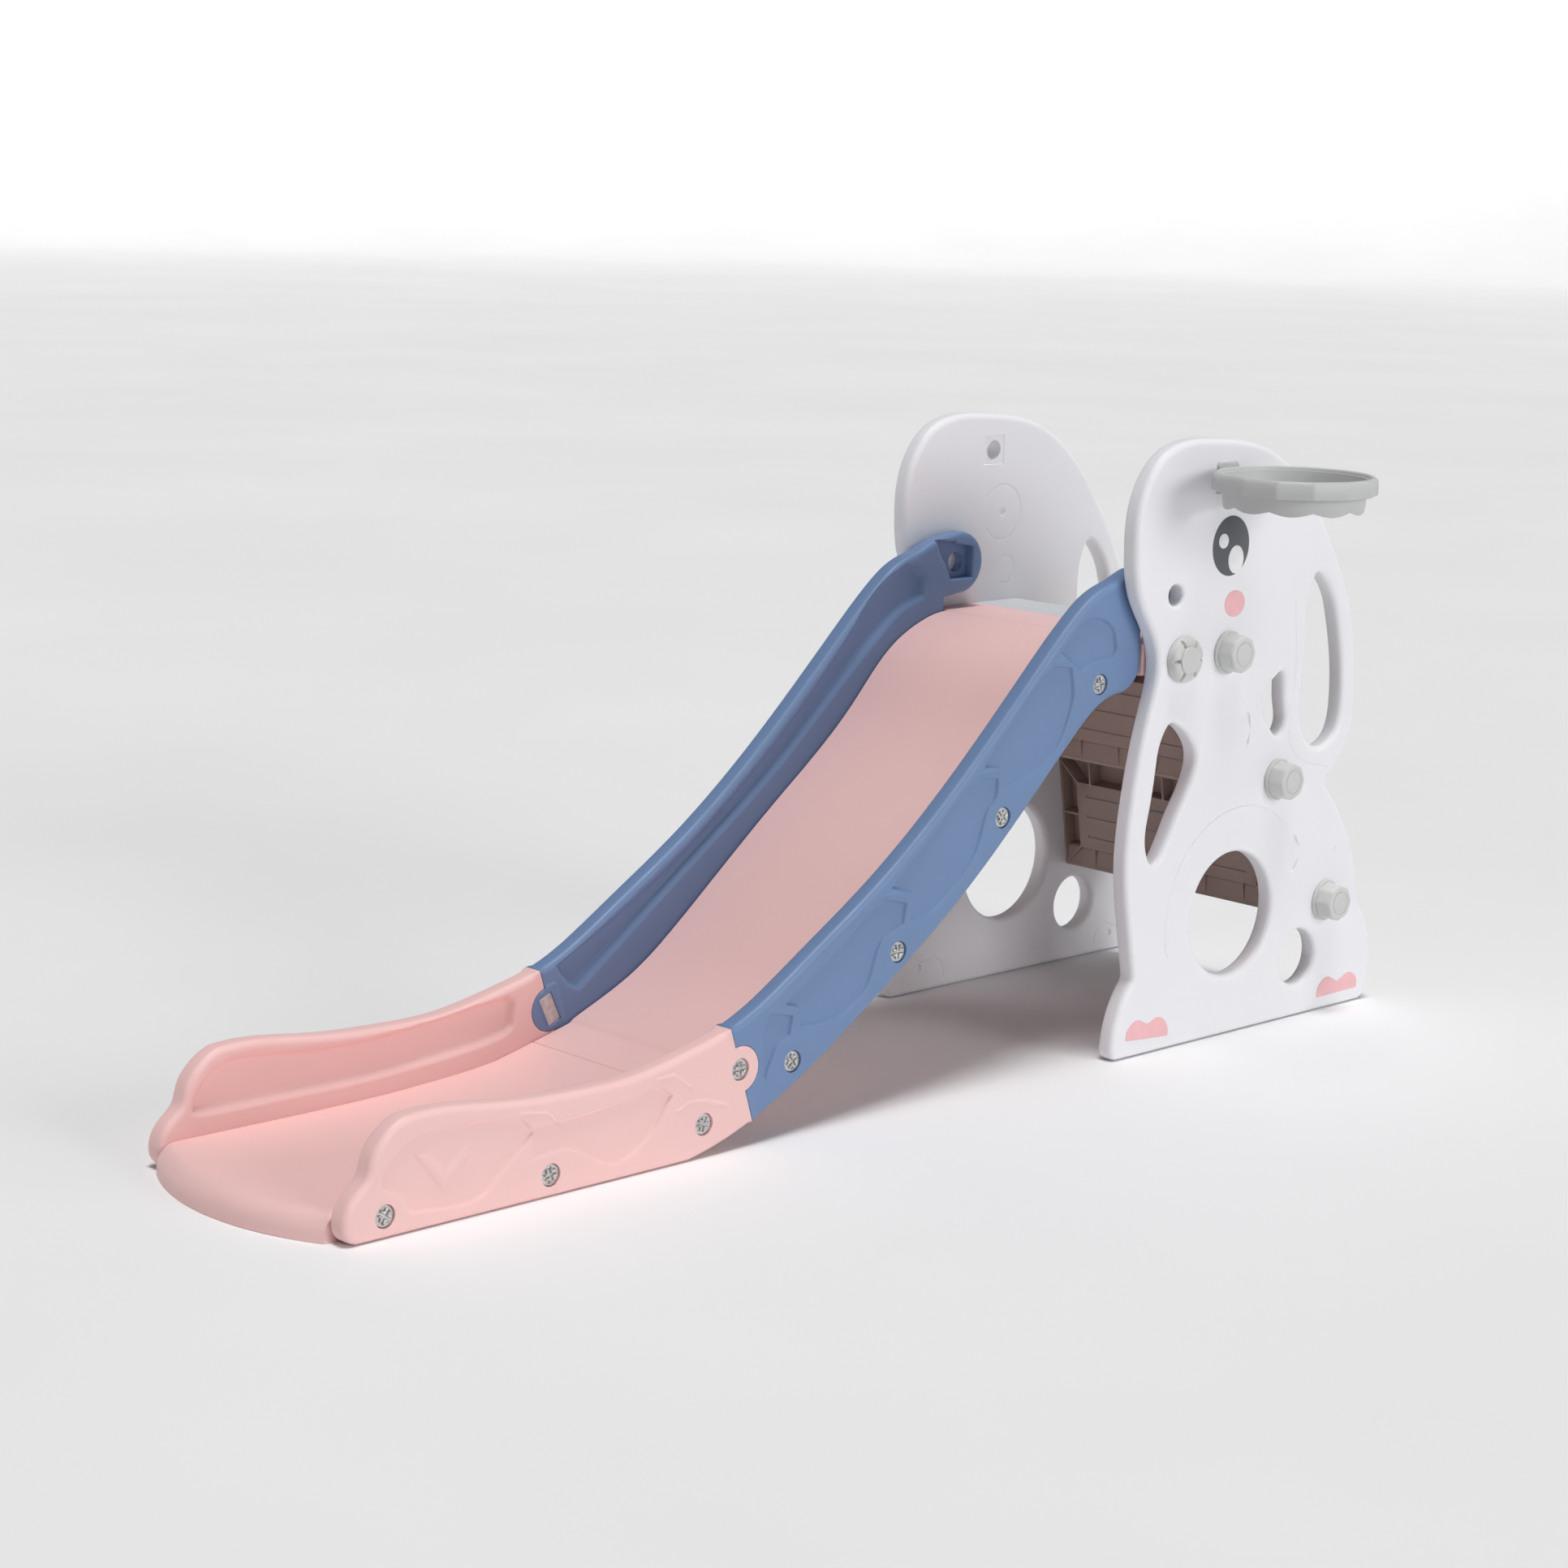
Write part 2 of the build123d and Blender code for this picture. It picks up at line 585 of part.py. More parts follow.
def rail_cavity(exit_side, screws):
    """Side view of the hollow of one rail: clear of the lap, the screws and the ear's seat."""
    clear = LAP_R + 3 * WALL
    with BuildSketch() as cavity:
        add(drawn_in(RAIL_STRIP))
        with Locations((LAP_AXIS[0] + (-clear if exit_side else clear), LAP_AXIS[1])):
            Rectangle(BEYOND, BEYOND, mode=Mode.INTERSECT,
                      align=(Align.MAX if exit_side else Align.MIN, Align.CENTER))
        with Locations(*screws):
            Circle(SCREW_HEAD_R + GAP + WALL, mode=Mode.SUBTRACT)
        with Locations(EAR_AXIS):
            Rectangle(EAR_SEAT[0] + 2 * WALL, EAR_SEAT[0] + 2 * WALL, mode=Mode.SUBTRACT)
    return cavity.sketch


def rail(exit_side, screws):
    """A left rail; the two rails overlap at half thickness round the lap axis."""
    with BuildPart() as piece:
        for start, outer in ((RAIL_MID, True), (RAIL_IN, False)):
            with BuildSketch(upright(start)):
                add(RAIL_STRIP)
                add(exit_region(outer, 0 if exit_side else GAP),
                    mode=Mode.INTERSECT if exit_side else Mode.SUBTRACT)
            extrude(amount=RAIL_THICK / 2)
        with BuildSketch(upright(RAIL_IN + WALL)):
            add(rail_cavity(exit_side, screws))
        extrude(amount=RAIL_THICK - 2 * WALL, mode=Mode.SUBTRACT)
        with BuildSketch(upright(RAIL_IN)):
            with Locations(*screws, LAP_AXIS):
                Circle(SCREW_R)
        extrude(amount=RAIL_THICK, mode=Mode.SUBTRACT)
        with BuildSketch(upright(RAIL_IN)):
            with Locations(*RAIL_VENTS):
                Circle(VENT_R)
        extrude(amount=2 * WALL, mode=Mode.SUBTRACT)
        with BuildSketch(upright(RAIL_OUT - SCREW_HEAD_T)):
            with Locations(*screws, LAP_AXIS):
                Circle(SCREW_HEAD_R + GAP)
        extrude(amount=SCREW_HEAD_T, mode=Mode.SUBTRACT)
    return piece.part


def upper_rail():
    """The blue rail also has the open ear hole, its square seat and the lap nut's recess."""
    with BuildPart() as piece:
        add(rail(False, BLUE_SCREWS))
        with BuildSketch(upright(RAIL_IN)):
            with Locations(EAR_AXIS):
                Circle(EAR_HOLE_R)
        extrude(amount=RAIL_THICK, mode=Mode.SUBTRACT)
        with BuildSketch(upright(RAIL_IN)):
            with Locations(EAR_AXIS):
                Rectangle(EAR_SEAT[0], EAR_SEAT[0])
        extrude(amount=EAR_SEAT[1], mode=Mode.SUBTRACT)
        with BuildSketch(upright(RAIL_IN)):
            with Locations(LAP_AXIS):
                Rectangle(NUT_PLATE[0] + GAP, NUT_PLATE[1] + GAP, rotation=NUT_PLATE_LEAN)
        extrude(amount=NUT_PLATE[2], mode=Mode.SUBTRACT)
    return piece.part


def lap_nut_plates():
    with BuildPart() as plates:
        with BuildSketch(upright(RAIL_IN)):
            with Locations(LAP_AXIS):
                Rectangle(NUT_PLATE[0], NUT_PLATE[1], rotation=NUT_PLATE_LEAN)
        extrude(amount=NUT_PLATE[2])
        mirror(about=Plane.XZ)
    return plates.part


def screw_head_cross():
    """Four raised corner bars on a screw head, with a cross-shaped groove between them."""
    reach = SCREW_HEAD_R * 0.75
    with BuildSketch() as cross:
        with GridLocations(reach, reach, 2, 2):
            Rectangle(reach * 0.8, reach * 0.8)
        with GridLocations(reach * 1.25, reach * 1.25, 2, 2):
            Rectangle(reach * 0.8, reach * 0.8, mode=Mode.SUBTRACT)
        Circle(SCREW_HEAD_R - 1.5, mode=Mode.INTERSECT)
    return cross.sketch


def rail_screws():
    """The eight screws of the left rails; the one at the lap ends in the nut plate."""
    bed_screws = BLUE_SCREWS + PINK_SCREWS
    with BuildPart() as screws:
        with BuildSketch(upright(RAIL_OUT - SCREW_HEAD_T)):
            with Locations(*bed_screws, LAP_AXIS):
                Circle(SCREW_HEAD_R)
        extrude(amount=SCREW_HEAD_T - SCREW_CROSS)
        with BuildSketch(upright(RAIL_OUT - SCREW_CROSS)):
            with Locations(*bed_screws, LAP_AXIS):
                add(screw_head_cross())
        extrude(amount=SCREW_CROSS)
        with BuildSketch(upright(BED_HALF - SCREW_GRIP)):
            with Locations(*bed_screws):
                Circle(SCREW_R)
        extrude(amount=RAIL_OUT - SCREW_HEAD_T - BED_HALF + SCREW_GRIP)
        with BuildSketch(upright(RAIL_IN + NUT_PLATE[2])):
            with Locations(LAP_AXIS):
                Circle(SCREW_R)
        extrude(amount=RAIL_THICK - SCREW_HEAD_T - NUT_PLATE[2])
    return screws.part


RAIL_STRIP = rail_strip()
save_pair(upper_rail(), "upper_rail")
save_pair(rail(True, PINK_SCREWS), "lower_rail")
save_pair(rail_screws(), "rail_screws")
save(lap_nut_plates(), "lap_nut_plates")


# ---- knobs, caps and their bolts ----------------------------------------------------------
def knob(axis):
    """Octagonal hand knob on a round flange, hollow for the head end of its bolt."""
    face = PANEL_OUT + GAP
    with BuildPart() as piece:
        with BuildSketch(upright(face)):
            with Locations(axis):
                Circle(KNOB_R)
        extrude(amount=KNOB_FLANGE)
        with BuildSketch(upright(face)):
            with Locations(axis):
                RegularPolygon(KNOB_GRIP_R, KNOB_SIDES, rotation=180 / KNOB_SIDES)
        extrude(amount=KNOB_TALL)
        chamfer(piece.faces().sort_by(Axis.Y)[0].edges(), KNOB_CHAMFER)
        with BuildSketch(upright(face)):
            with Locations(axis):
                Circle(BORE_R)
        extrude(amount=KNOB_TALL - KNOB_FLANGE, mode=Mode.SUBTRACT)
    return piece.part


def cap(axis):
    """Low round cap with a raised disc and six radial notches round it."""
    notch = CAP_R - CAP_DISC_R
    with BuildPart() as piece:
        with BuildSketch(upright(PANEL_OUT + GAP)):
            with Locations(axis):
                Circle(CAP_R)
        extrude(amount=CAP_TALL - CAP_DISC_STEP)
        fillet(piece.faces().sort_by(Axis.Y)[0].edges(), CAP_ROUND)
        with BuildSketch(upright(PANEL_OUT + GAP)):
            with Locations(axis):
                Circle(CAP_DISC_R)
        extrude(amount=CAP_TALL)
        with BuildSketch(upright(PANEL_OUT + GAP + CAP_TALL / 2)):
            with Locations(axis):
                with PolarLocations(CAP_DISC_R + 1, CAP_NOTCHES):
                    Rectangle(notch, TREAD_SKIN, align=(Align.MIN, Align.CENTER))
        extrude(amount=CAP_TALL, mode=Mode.SUBTRACT)
        with BuildSketch(upright(PANEL_OUT + GAP)):
            with Locations(axis):
                Circle(BORE_R)
        extrude(amount=CAP_TALL - KNOB_FLANGE, mode=Mode.SUBTRACT)
    return piece.part


def bolt(axis, head_end):
    """The steel shaft that turns with a knob, from inside it to just past the nut."""
    with BuildPart() as piece:
        with BuildSketch(upright(PANEL_IN - NUT_DEPTH - NUT_THICK - BOLT_TIP)):
            with Locations(axis):
                Circle(BOLT_R)
        extrude(amount=PANEL_THICK + NUT_DEPTH + NUT_THICK + BOLT_TIP + GAP + head_end)
        chamfer(piece.faces().sort_by(Axis.Y)[-1].edges(), BOLT_CHAMFER)
    return piece.part


for place, axis in KNOB_AXES.items():
    save_pair(knob(axis), f"{place}_knob")
    save_pair(bolt(axis, KNOB_TALL - KNOB_FLANGE), f"{place}_knob_bolt")
save_pair(cap(CAP_AXIS), "slide_cap")
save_pair(bolt(CAP_AXIS, CAP_TALL - KNOB_FLANGE), "slide_cap_bolt")


# ---- the hoop -----------------------------------------------------------------------------
def hoop():
    """A ring with a faceted rim and a scalloped skirt, on a square plate with a round plug."""
    low, high = HOOP_BAND
    centre = (HOOP_AXIS[0], HOOP_Y)
    seat = PANEL_OUT - SEAT_DEEP + GAP
    with BuildPart() as ring:
        with BuildSketch(Plane.XY.offset(low)):
            with Locations(centre):
                RegularPolygon(HOOP_R, HOOP_FACETS, rotation=90)
        extrude(amount=high - low)
        fillet(ring.edges().filter_by(Axis.Z), HOOP_CORNER_R)
        fillet(ring.faces().sort_by(Axis.Z)[-1].edges(), HOOP_EDGE_R)
        with BuildSketch(Plane.XY.offset(low)):
            with Locations(centre):
                Circle(HOOP_R - 2 * RING_WALL)
        extrude(amount=high - low - RING_WALL, mode=Mode.SUBTRACT)
        with BuildSketch(Plane.XY.offset(SKIRT_Z)):
            with Locations(centre):
                Circle(SKIRT_R)
        extrude(amount=high - SKIRT_Z - RING_WALL)
        with BuildSketch(Plane.XY.offset(SKIRT_Z)):
            with Locations(centre):
                Circle(SKIRT_R - RING_WALL)
        extrude(amount=high - SKIRT_Z, mode=Mode.SUBTRACT)
        with Locations((centre[0], centre[1], SKIRT_Z + SCALLOP_TALL - SCALLOP_R)):
            with PolarLocations(SKIRT_R, SCALLOPS):
                Cylinder(SCALLOP_R, 8 * RING_WALL, rotation=(0, 90, 0), mode=Mode.SUBTRACT)
        with BuildSketch(upright(seat)):
            with Locations(HOOP_AXIS):
                Rectangle(HOOP_PLATE - 2 * GAP, HOOP_PLATE - 2 * GAP)
        extrude(amount=HOOP_FOOT)
        with BuildSketch(upright(seat)):
            with Locations((HOOP_AXIS[0], (low + high) / 2)):
                Rectangle(HOOP_PLATE - 2 * GAP, high - low - 2)
        extrude(amount=-HOOP_Y - HOOP_R + 4 * RING_WALL - seat)
        with BuildSketch(upright(PANEL_IN - RING_WALL)):
            with Locations(HOOP_AXIS):
                Circle(HOOP_PLUG_R)
        extrude(amount=seat - PANEL_IN + RING_WALL)
    return ring.part


save(hoop(), "hoop")
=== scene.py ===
"""The looks of the toddler slide: moulded panels and rails, fittings, plastics, light and camera.

Shapes are worked out in millimetres with X from the tower's middle, Y across and Z up, as the
object is drawn, and go into the scene in metres with X from the slide's exit.  Flat-sided
mouldings are built as plates: their outlines come from the frame's own faces, and rounded
edges, pockets, grooves and bosses are worked into the surface.  Left pieces lie at -Y; the
right ones are their mirror images.
"""

import json
import math

import bmesh
import bpy
import numpy as np
from mathutils import Matrix, Vector, geometry
from mathutils.kdtree import KDTree

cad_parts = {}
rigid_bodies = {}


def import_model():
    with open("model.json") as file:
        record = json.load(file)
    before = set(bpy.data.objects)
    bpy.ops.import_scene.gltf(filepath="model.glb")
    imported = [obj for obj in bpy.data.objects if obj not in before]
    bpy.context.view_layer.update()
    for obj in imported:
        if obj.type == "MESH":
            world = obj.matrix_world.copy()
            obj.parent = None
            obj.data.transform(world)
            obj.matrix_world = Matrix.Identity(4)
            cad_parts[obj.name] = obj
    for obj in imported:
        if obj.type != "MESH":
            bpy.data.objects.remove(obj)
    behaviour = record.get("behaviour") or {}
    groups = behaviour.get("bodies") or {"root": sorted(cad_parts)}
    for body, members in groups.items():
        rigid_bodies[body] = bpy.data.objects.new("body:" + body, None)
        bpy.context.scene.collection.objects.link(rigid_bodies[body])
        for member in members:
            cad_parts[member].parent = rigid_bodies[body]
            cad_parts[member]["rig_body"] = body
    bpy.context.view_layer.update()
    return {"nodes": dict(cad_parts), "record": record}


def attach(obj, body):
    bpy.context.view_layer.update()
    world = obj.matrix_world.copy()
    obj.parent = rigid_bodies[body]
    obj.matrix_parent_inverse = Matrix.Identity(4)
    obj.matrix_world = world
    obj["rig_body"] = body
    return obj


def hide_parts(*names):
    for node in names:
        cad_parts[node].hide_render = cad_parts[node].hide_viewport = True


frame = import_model()

MM = 0.001
TOWER_X = 1400.0                  # slide's exit to the middle of the tower
PANEL_OUT = 213.0                 # centre plane to a side panel's outer face
PANEL_IN = 187.0
RAIL_OUT = 185.0
RAIL_IN = 157.0
RAIL_MID = 171.0                  # where the two halves of a rail meet
LINE_STEP = 3.0                   # spacing of points along outlines and relief
GRID_STEP = 13.0                  # spacing of points on flat stretches
ROUND_STEPS = 5                   # rings of faces round an edge
SHARP_TURN = 32.0                 # degrees; a line turns smoothly below this and has a corner above
BATCH = 3_000_000                 # point and segment pairs worked on at once
SIDES = ("left", "right")


# ---- lines --------------------------------------------------------------------------------
def smooth_line(points, closed=True, corner=SHARP_TURN, step=LINE_STEP):
    """Evenly spaced points on a smooth line through the given ones, sharp where it turns hard."""
    points = np.asarray(points, float)
    runs = np.roll(points, -1, 0) - points
    turn = np.degrees(np.abs(turns(runs)))
    if closed:
        start = int(turn.argmax())
        points = np.vstack([np.roll(points, -start, 0), points[start]])
        turn = np.append(np.roll(turn, -start), turn[start])
    lengths = np.linalg.norm(np.diff(points, axis=0), axis=1)
    slopes = np.diff(points, axis=0) / lengths[:, None]
    before = np.vstack([slopes[-1] if closed else slopes[0], slopes])
    after = np.vstack([slopes, slopes[0] if closed else slopes[-1]])
    spans = np.concatenate([[lengths[-1]], lengths, [lengths[0]]])
    weights = spans[:-1] / (spans[:-1] + spans[1:])
    mean = before * weights[:, None] + after * (1 - weights[:, None])
    sharp = (turn > corner)[:, None]
    leaving = np.where(sharp, after, mean)
    arriving = np.where(sharp, before, mean)
    line = []
    for i, length in enumerate(lengths):
        count = max(1, round(length / step))
        t = (np.arange(count) / count)[:, None]
        line.append((2 * t**3 - 3 * t**2 + 1) * points[i] + (3 * t**2 - 2 * t**3) * points[i + 1]
                    + (t**3 - 2 * t**2 + t) * length * leaving[i]
                    + (t**3 - t**2) * length * arriving[i + 1])
    if not closed:
        line.append(points[-1:])
    return np.vstack(line)


def loop_length(line):
    return np.linalg.norm(np.roll(line, -1, 0) - line, axis=1).sum()


def turns(runs):
    """Signed angle from each run of a closed line's predecessor to it, in radians."""
    before = np.roll(runs, 1, 0)
    cross = before[:, 0] * runs[:, 1] - before[:, 1] * runs[:, 0]
    return np.arctan2(cross, (before * runs).sum(1))


def thinned(points, step=LINE_STEP):
    """A closed line without the points that crowd, keeping its corners."""
    sharp = np.degrees(np.abs(turns(np.roll(points, -1, 0) - points))) > SHARP_TURN
    kept = [0]
    for i in range(1, len(points)):
        if sharp[i] or np.linalg.norm(points[i] - points[kept[-1]]) > 0.7 * step:
            if sharp[i] and not sharp[kept[-1]] and len(kept) > 1 \
                    and np.linalg.norm(points[i] - points[kept[-1]]) < 0.5 * step:
                kept.pop()
            kept.append(i)
    return points[kept]


def area(line):
    """Signed area inside a closed line; positive when it runs anticlockwise."""
    x, z = line.T
    return 0.5 * (x * np.roll(z, -1) - z * np.roll(x, -1)).sum()


def circle(x, z, radius, step=LINE_STEP):
    count = max(16, round(2 * math.pi * radius / step))
    angles = np.arange(count) * 2 * math.pi / count
    return np.stack([x + radius * np.cos(angles), z + radius * np.sin(angles)], 1)


def normals(line, closed=True):
    """Unit normals on a line's left side, which is inwards for an anticlockwise one."""
    if closed:
        along = np.roll(line, -1, 0) - np.roll(line, 1, 0)
    else:
        along = np.gradient(line, axis=0)
    along /= np.linalg.norm(along, axis=1)[:, None] + 1e-9
    return np.stack([-along[:, 1], along[:, 0]], 1)


def segments(lines, closed=True):
    starts = np.vstack([line if closed else line[:-1] for line in lines])
    ends = np.vstack([np.roll(line, -1, 0) if closed else line[1:] for line in lines])
    return starts, ends


def nearest(points, starts, ends):
    """Each point's distance to the nearest segment, and which segment that is."""
    runs = ends - starts
    squares = (runs**2).sum(1) + 1e-12
    gaps, picks = [], []
    for part in np.array_split(points, 1 + len(points) * len(starts) // BATCH):
        offset = part[:, None] - starts
        along = np.clip((offset * runs).sum(2) / squares, 0, 1)
        gap = ((offset - along[..., None] * runs) ** 2).sum(2)
        picks.append(gap.argmin(1))
        gaps.append(np.sqrt(gap.min(1)))
    return np.concatenate(gaps), np.concatenate(picks)


def inside(points, starts, ends):
    """Whether each point lies within closed lines, by counting crossings to its right."""
    found = []
    for part in np.array_split(points, 1 + len(points) * len(starts) // BATCH):
        x, z = part[:, :1], part[:, 1:]
        spans = (starts[:, 1] > z) != (ends[:, 1] > z)
        rise = ends[:, 1] - starts[:, 1]
        rise = np.where(np.abs(rise) < 1e-9, 1e-9, rise)
        cross = starts[:, 0] + (z - starts[:, 1]) * (ends[:, 0] - starts[:, 0]) / rise
        found.append((spans & (x < cross)).sum(1) % 2 == 1)
    return np.concatenate(found)


def ease(t):
    """A soft step from 0 to 1."""
    t = np.clip(t, 0, 1)
    return t * t * (3 - 2 * t)


# ---- relief -------------------------------------------------------------------------------
BESIDE = 2.0                      # from a pocket's wall to the rows of points beside it


class Pocket:
    """A sunk area with soft walls; a negative depth raises it."""

    def __init__(self, outline, depth, slope=4.0):
        self.line = outline if area(outline) > 0 else outline[::-1]
        self.depth, self.slope = depth, slope

    def rows(self):
        side = normals(self.line)
        wall = [self.slope * share for share in (-0.5, -0.25, 0.0, 0.25, 0.5)]
        beside = [wall[0] - BESIDE, wall[-1] + BESIDE]
        return np.vstack([self.line + side * reach for reach in wall + beside])

    def at(self, points):
        edges = segments([self.line])
        gap, _ = nearest(points, *edges)
        gap = np.where(inside(points, *edges), gap, -gap)
        return self.depth * ease(gap / self.slope + 0.5)


class Groove:
    """A soft channel along an open line; a negative depth makes a ridge."""

    def __init__(self, line, depth, width=4.0, closed=False):
        self.line, self.depth, self.width, self.closed = line, depth, width, closed

    def rows(self):
        side = normals(self.line, self.closed)
        places = (-0.9, -0.5, -0.25, 0.0, 0.25, 0.5, 0.9)
        return np.vstack([self.line + side * self.width * place for place in places])

    def at(self, points):
        gap, _ = nearest(points, *segments([self.line], self.closed))
        return self.depth * ease(1 - gap / (self.width / 2))


# ---- plates -------------------------------------------------------------------------------
FLAT_WITHIN = 0.02                # how far a point may be from a face's plane
RING_PAST_EDGE = 1.5              # from a rounded edge to the last ring of points round it
RING_SHARE = 0.85                 # rings stop where another edge is nearer than this share
RELIEF_STEP = 0.8                 # relief points closer than this are one
RELIEF_GAP = 2.2                  # from a rounded edge to the relief's points
GRID_GAP = 5.0                    # from edges and relief to the grid's points


def face_outlines(node, depth):
    """The outlines of a node's flat face at Y = depth, anticlockwise outside, in millimetres."""
    mesh = frame["nodes"][node].data
    spots = np.array([v.co for v in mesh.vertices]) / MM
    mesh.calc_loop_triangles()
    triangles = np.array([t.vertices for t in mesh.loop_triangles])
    flat = (np.abs(spots[triangles][:, :, 1] - depth) < FLAT_WITHIN).all(1)
    names = [tuple(row) for row in np.round(spots[:, [0, 2]], 2)]
    rim = set()
    for corners in triangles[flat]:
        loop = [names[i] for i in corners]
        if area(np.array(loop)) < 0:
            loop.reverse()
        for start, end in zip(loop, loop[1:] + loop[:1]):
            if (end, start) in rim:
                rim.remove((end, start))
            elif start != end:
                rim.add((start, end))
    following = dict(sorted(rim))
    outlines = []
    while following:
        start, end = following.popitem()
        line = [start]
        while end != start and end in following:
            line.append(end)
            end = following.pop(end)
        outlines.append(np.array(line) - [TOWER_X, 0])
    return outlines


def plate_face(lines, edge_radius, relief):
    """Points, triangles and depths of one face; the outline's own points come first."""
    starts, ends = segments(lines)
    border = starts
    radii = edge_radius(border)
    sides = np.vstack([normals(line) for line in lines])
    rings = []
    for ring in range(1, ROUND_STEPS + 2):
        angle = min(ring / ROUND_STEPS, 1) * math.pi / 2
        reach = radii * (1 - math.cos(angle)) + (RING_PAST_EDGE if ring > ROUND_STEPS else 0)
        spots = border + sides * reach[:, None]
        gap, _ = nearest(spots, starts, ends)
        rings.append(spots[(gap > RING_SHARE * reach) & inside(spots, starts, ends)])
    rows = np.vstack([feature.rows() for feature in relief]) if relief else np.zeros((0, 2))
    if len(rows):
        _, first = np.unique(np.round(rows / RELIEF_STEP), axis=0, return_index=True)
        rows = rows[np.sort(first)]
        gap, pick = nearest(rows, starts, ends)
        rows = rows[(gap > radii[pick] + RELIEF_GAP) & inside(rows, starts, ends)]
    low, high = border.min(0), border.max(0)
    across, up = np.meshgrid(np.arange(low[0], high[0], GRID_STEP),
                             np.arange(low[1], high[1], GRID_STEP))
    grid = np.stack([across.ravel(), up.ravel()], 1)
    gap, pick = nearest(grid, starts, ends)
    grid = grid[(gap > radii[pick] + GRID_GAP) & inside(grid, starts, ends)]
    if len(rows) and len(grid):
        tree = KDTree(len(rows))
        for i, spot in enumerate(rows):
            tree.insert((spot[0], spot[1], 0), i)
        tree.balance()
        grid = grid[[tree.find((x, z, 0))[2] > GRID_GAP for x, z in grid]]
    points = np.vstack([border, *rings, rows, grid])
    points, triangles = filled(points, lines)
    gap, pick = nearest(points, starts, ends)
    radius = radii[pick]
    share = np.clip(gap / radius, 0, 1)
    depth = radius * (1 - np.sqrt(np.clip(1 - (1 - share) ** 2, 0, 1)))
    depth[:len(border)] = radii
    for feature in relief:
        depth = depth + feature.at(points) * ease(share)
    return points, triangles, depth


def filled(points, lines):
    """Triangles between the points, within closed lines whose points come first."""
    edges, first = [], 0
    for line in lines:
        count = len(line)
        edges += [(first + i, first + (i + 1) % count) for i in range(count)]
        first += count
    spots, _, faces, origins, _, _ = geometry.delaunay_2d_cdt(
        [Vector(p) for p in points], edges, [], 0, 1e-4)
    order = [sources[0] if sources else -1 for sources in origins]
    triangles = np.array([[order[i] for i in face] for face in faces])
    triangles = triangles[(triangles >= 0).all(1)]
    rim = (triangles < first).all(1)
    keep = ~rim
    middles = points[triangles[rim]].mean(1)
    keep[np.flatnonzero(rim)] = inside(middles, *segments(lines))
    triangles = triangles[keep]
    a, b, c = (points[triangles[:, i]] for i in range(3))
    clockwise = np.cross(b - a, c - a) < 0
    triangles[clockwise] = triangles[clockwise][:, ::-1]
    return points, triangles


def moulded_plate(lines, face_y, back_y, edge_radius, relief, back_edge=None, back_relief=()):
    """A closed plate at the left side, its relief on the face at -Y or on both faces.

    face_y and back_y are distances from the centre plane; the face looks away from the back.
    """
    points, triangles, depth = plate_face(lines, edge_radius, list(relief))
    outwards = 1 if face_y > back_y else -1
    front = np.column_stack([points[:, 0], -(face_y - outwards * depth), points[:, 1]])
    if back_edge:
        points, back_triangles, depth = plate_face(lines, back_edge, list(back_relief))
    else:
        points = np.vstack(lines)
        points, back_triangles = filled(points, lines)
        depth = np.zeros(len(points))
    back = np.column_stack([points[:, 0], -(back_y + outwards * depth), points[:, 1]])
    faces = triangles.tolist() + (back_triangles[:, ::-1] + len(front)).tolist()
    first = 0
    for line in lines:
        count = len(line)
        for i in range(count):
            a, b = first + i, first + (i + 1) % count
            faces.append([a, a + len(front), b + len(front), b])
        first += count
    if outwards < 0:
        faces = [face[::-1] for face in faces]
    return np.vstack([front, back]), faces


def mirrored(vertices, faces):
    return vertices * [1, -1, 1], [face[::-1] for face in faces]


def joined(*solids):
    """Several vertex and face lists as one."""
    vertices, faces = [], []
    for spots, polygons in solids:
        shift = sum(len(v) for v in vertices)
        vertices.append(spots)
        faces += [[i + shift for i in polygon] for polygon in polygons]
    return np.vstack(vertices), faces


def add_piece(name, solid, material, node, crease=38.0):
    """A mesh piece in metres that stands for a CAD node and moves with its body."""
    vertices, faces = solid
    mesh = bpy.data.meshes.new(name)
    mesh.from_pydata(((vertices + [TOWER_X, 0, 0]) * MM).tolist(), [], faces)
    shape = bmesh.new()
    shape.from_mesh(mesh)
    bmesh.ops.recalc_face_normals(shape, faces=shape.faces)
    return show(name, shape, material, node, crease)


def show(name, shape, material, node, crease):
    """The finished shape as an object: smooth but for its creases, in its material and body."""
    mesh = bpy.data.meshes.new(name)
    shape.to_mesh(mesh)
    shape.free()
    if "custom_normal" in mesh.attributes:
        mesh.attributes.remove(mesh.attributes["custom_normal"])
    mesh.polygons.foreach_set("use_smooth", [True] * len(mesh.polygons))
    mesh.set_sharp_from_angle(angle=math.radians(crease))
    mesh.materials.clear()
    mesh.materials.append(material)
    piece = bpy.data.objects.new(name, mesh)
    bpy.context.scene.collection.objects.link(piece)
    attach(piece, frame["nodes"][node]["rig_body"])
    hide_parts(node)
    return piece


# ---- where the features lie, X and Z from the tower's middle --------------------------------
EAR_AXIS = (-157.0, 592.0)
EAR_SWEEP = (-240.0, -158.0)      # X where the upper rail's top line runs up to its ear
EAR_SWEEP_LOW = 607.0             # the top line is above this Z there
EAR_SWEEP_MID = (-205.0, 625.0)
HOOP_AXIS = (-71.0, 735.5)
LAP_AXIS = (-862.0, 95.0)
LAP_R = 28.0
LAP_LEAN = math.radians(17.5)
SCREWS = [(-263.0, 485.0), (-433.0, 337.0), (-608.0, 195.0), (-779.0, 90.0),
          (-917.0, 40.0), (-1143.0, 25.0), (-1369.0, 25.0), LAP_AXIS]
GRIP_SLOTS = [(-7.0, 404.0), (107.0, 226.0)]
GRIP_HALF, GRIP_R = 16.25, 8.75
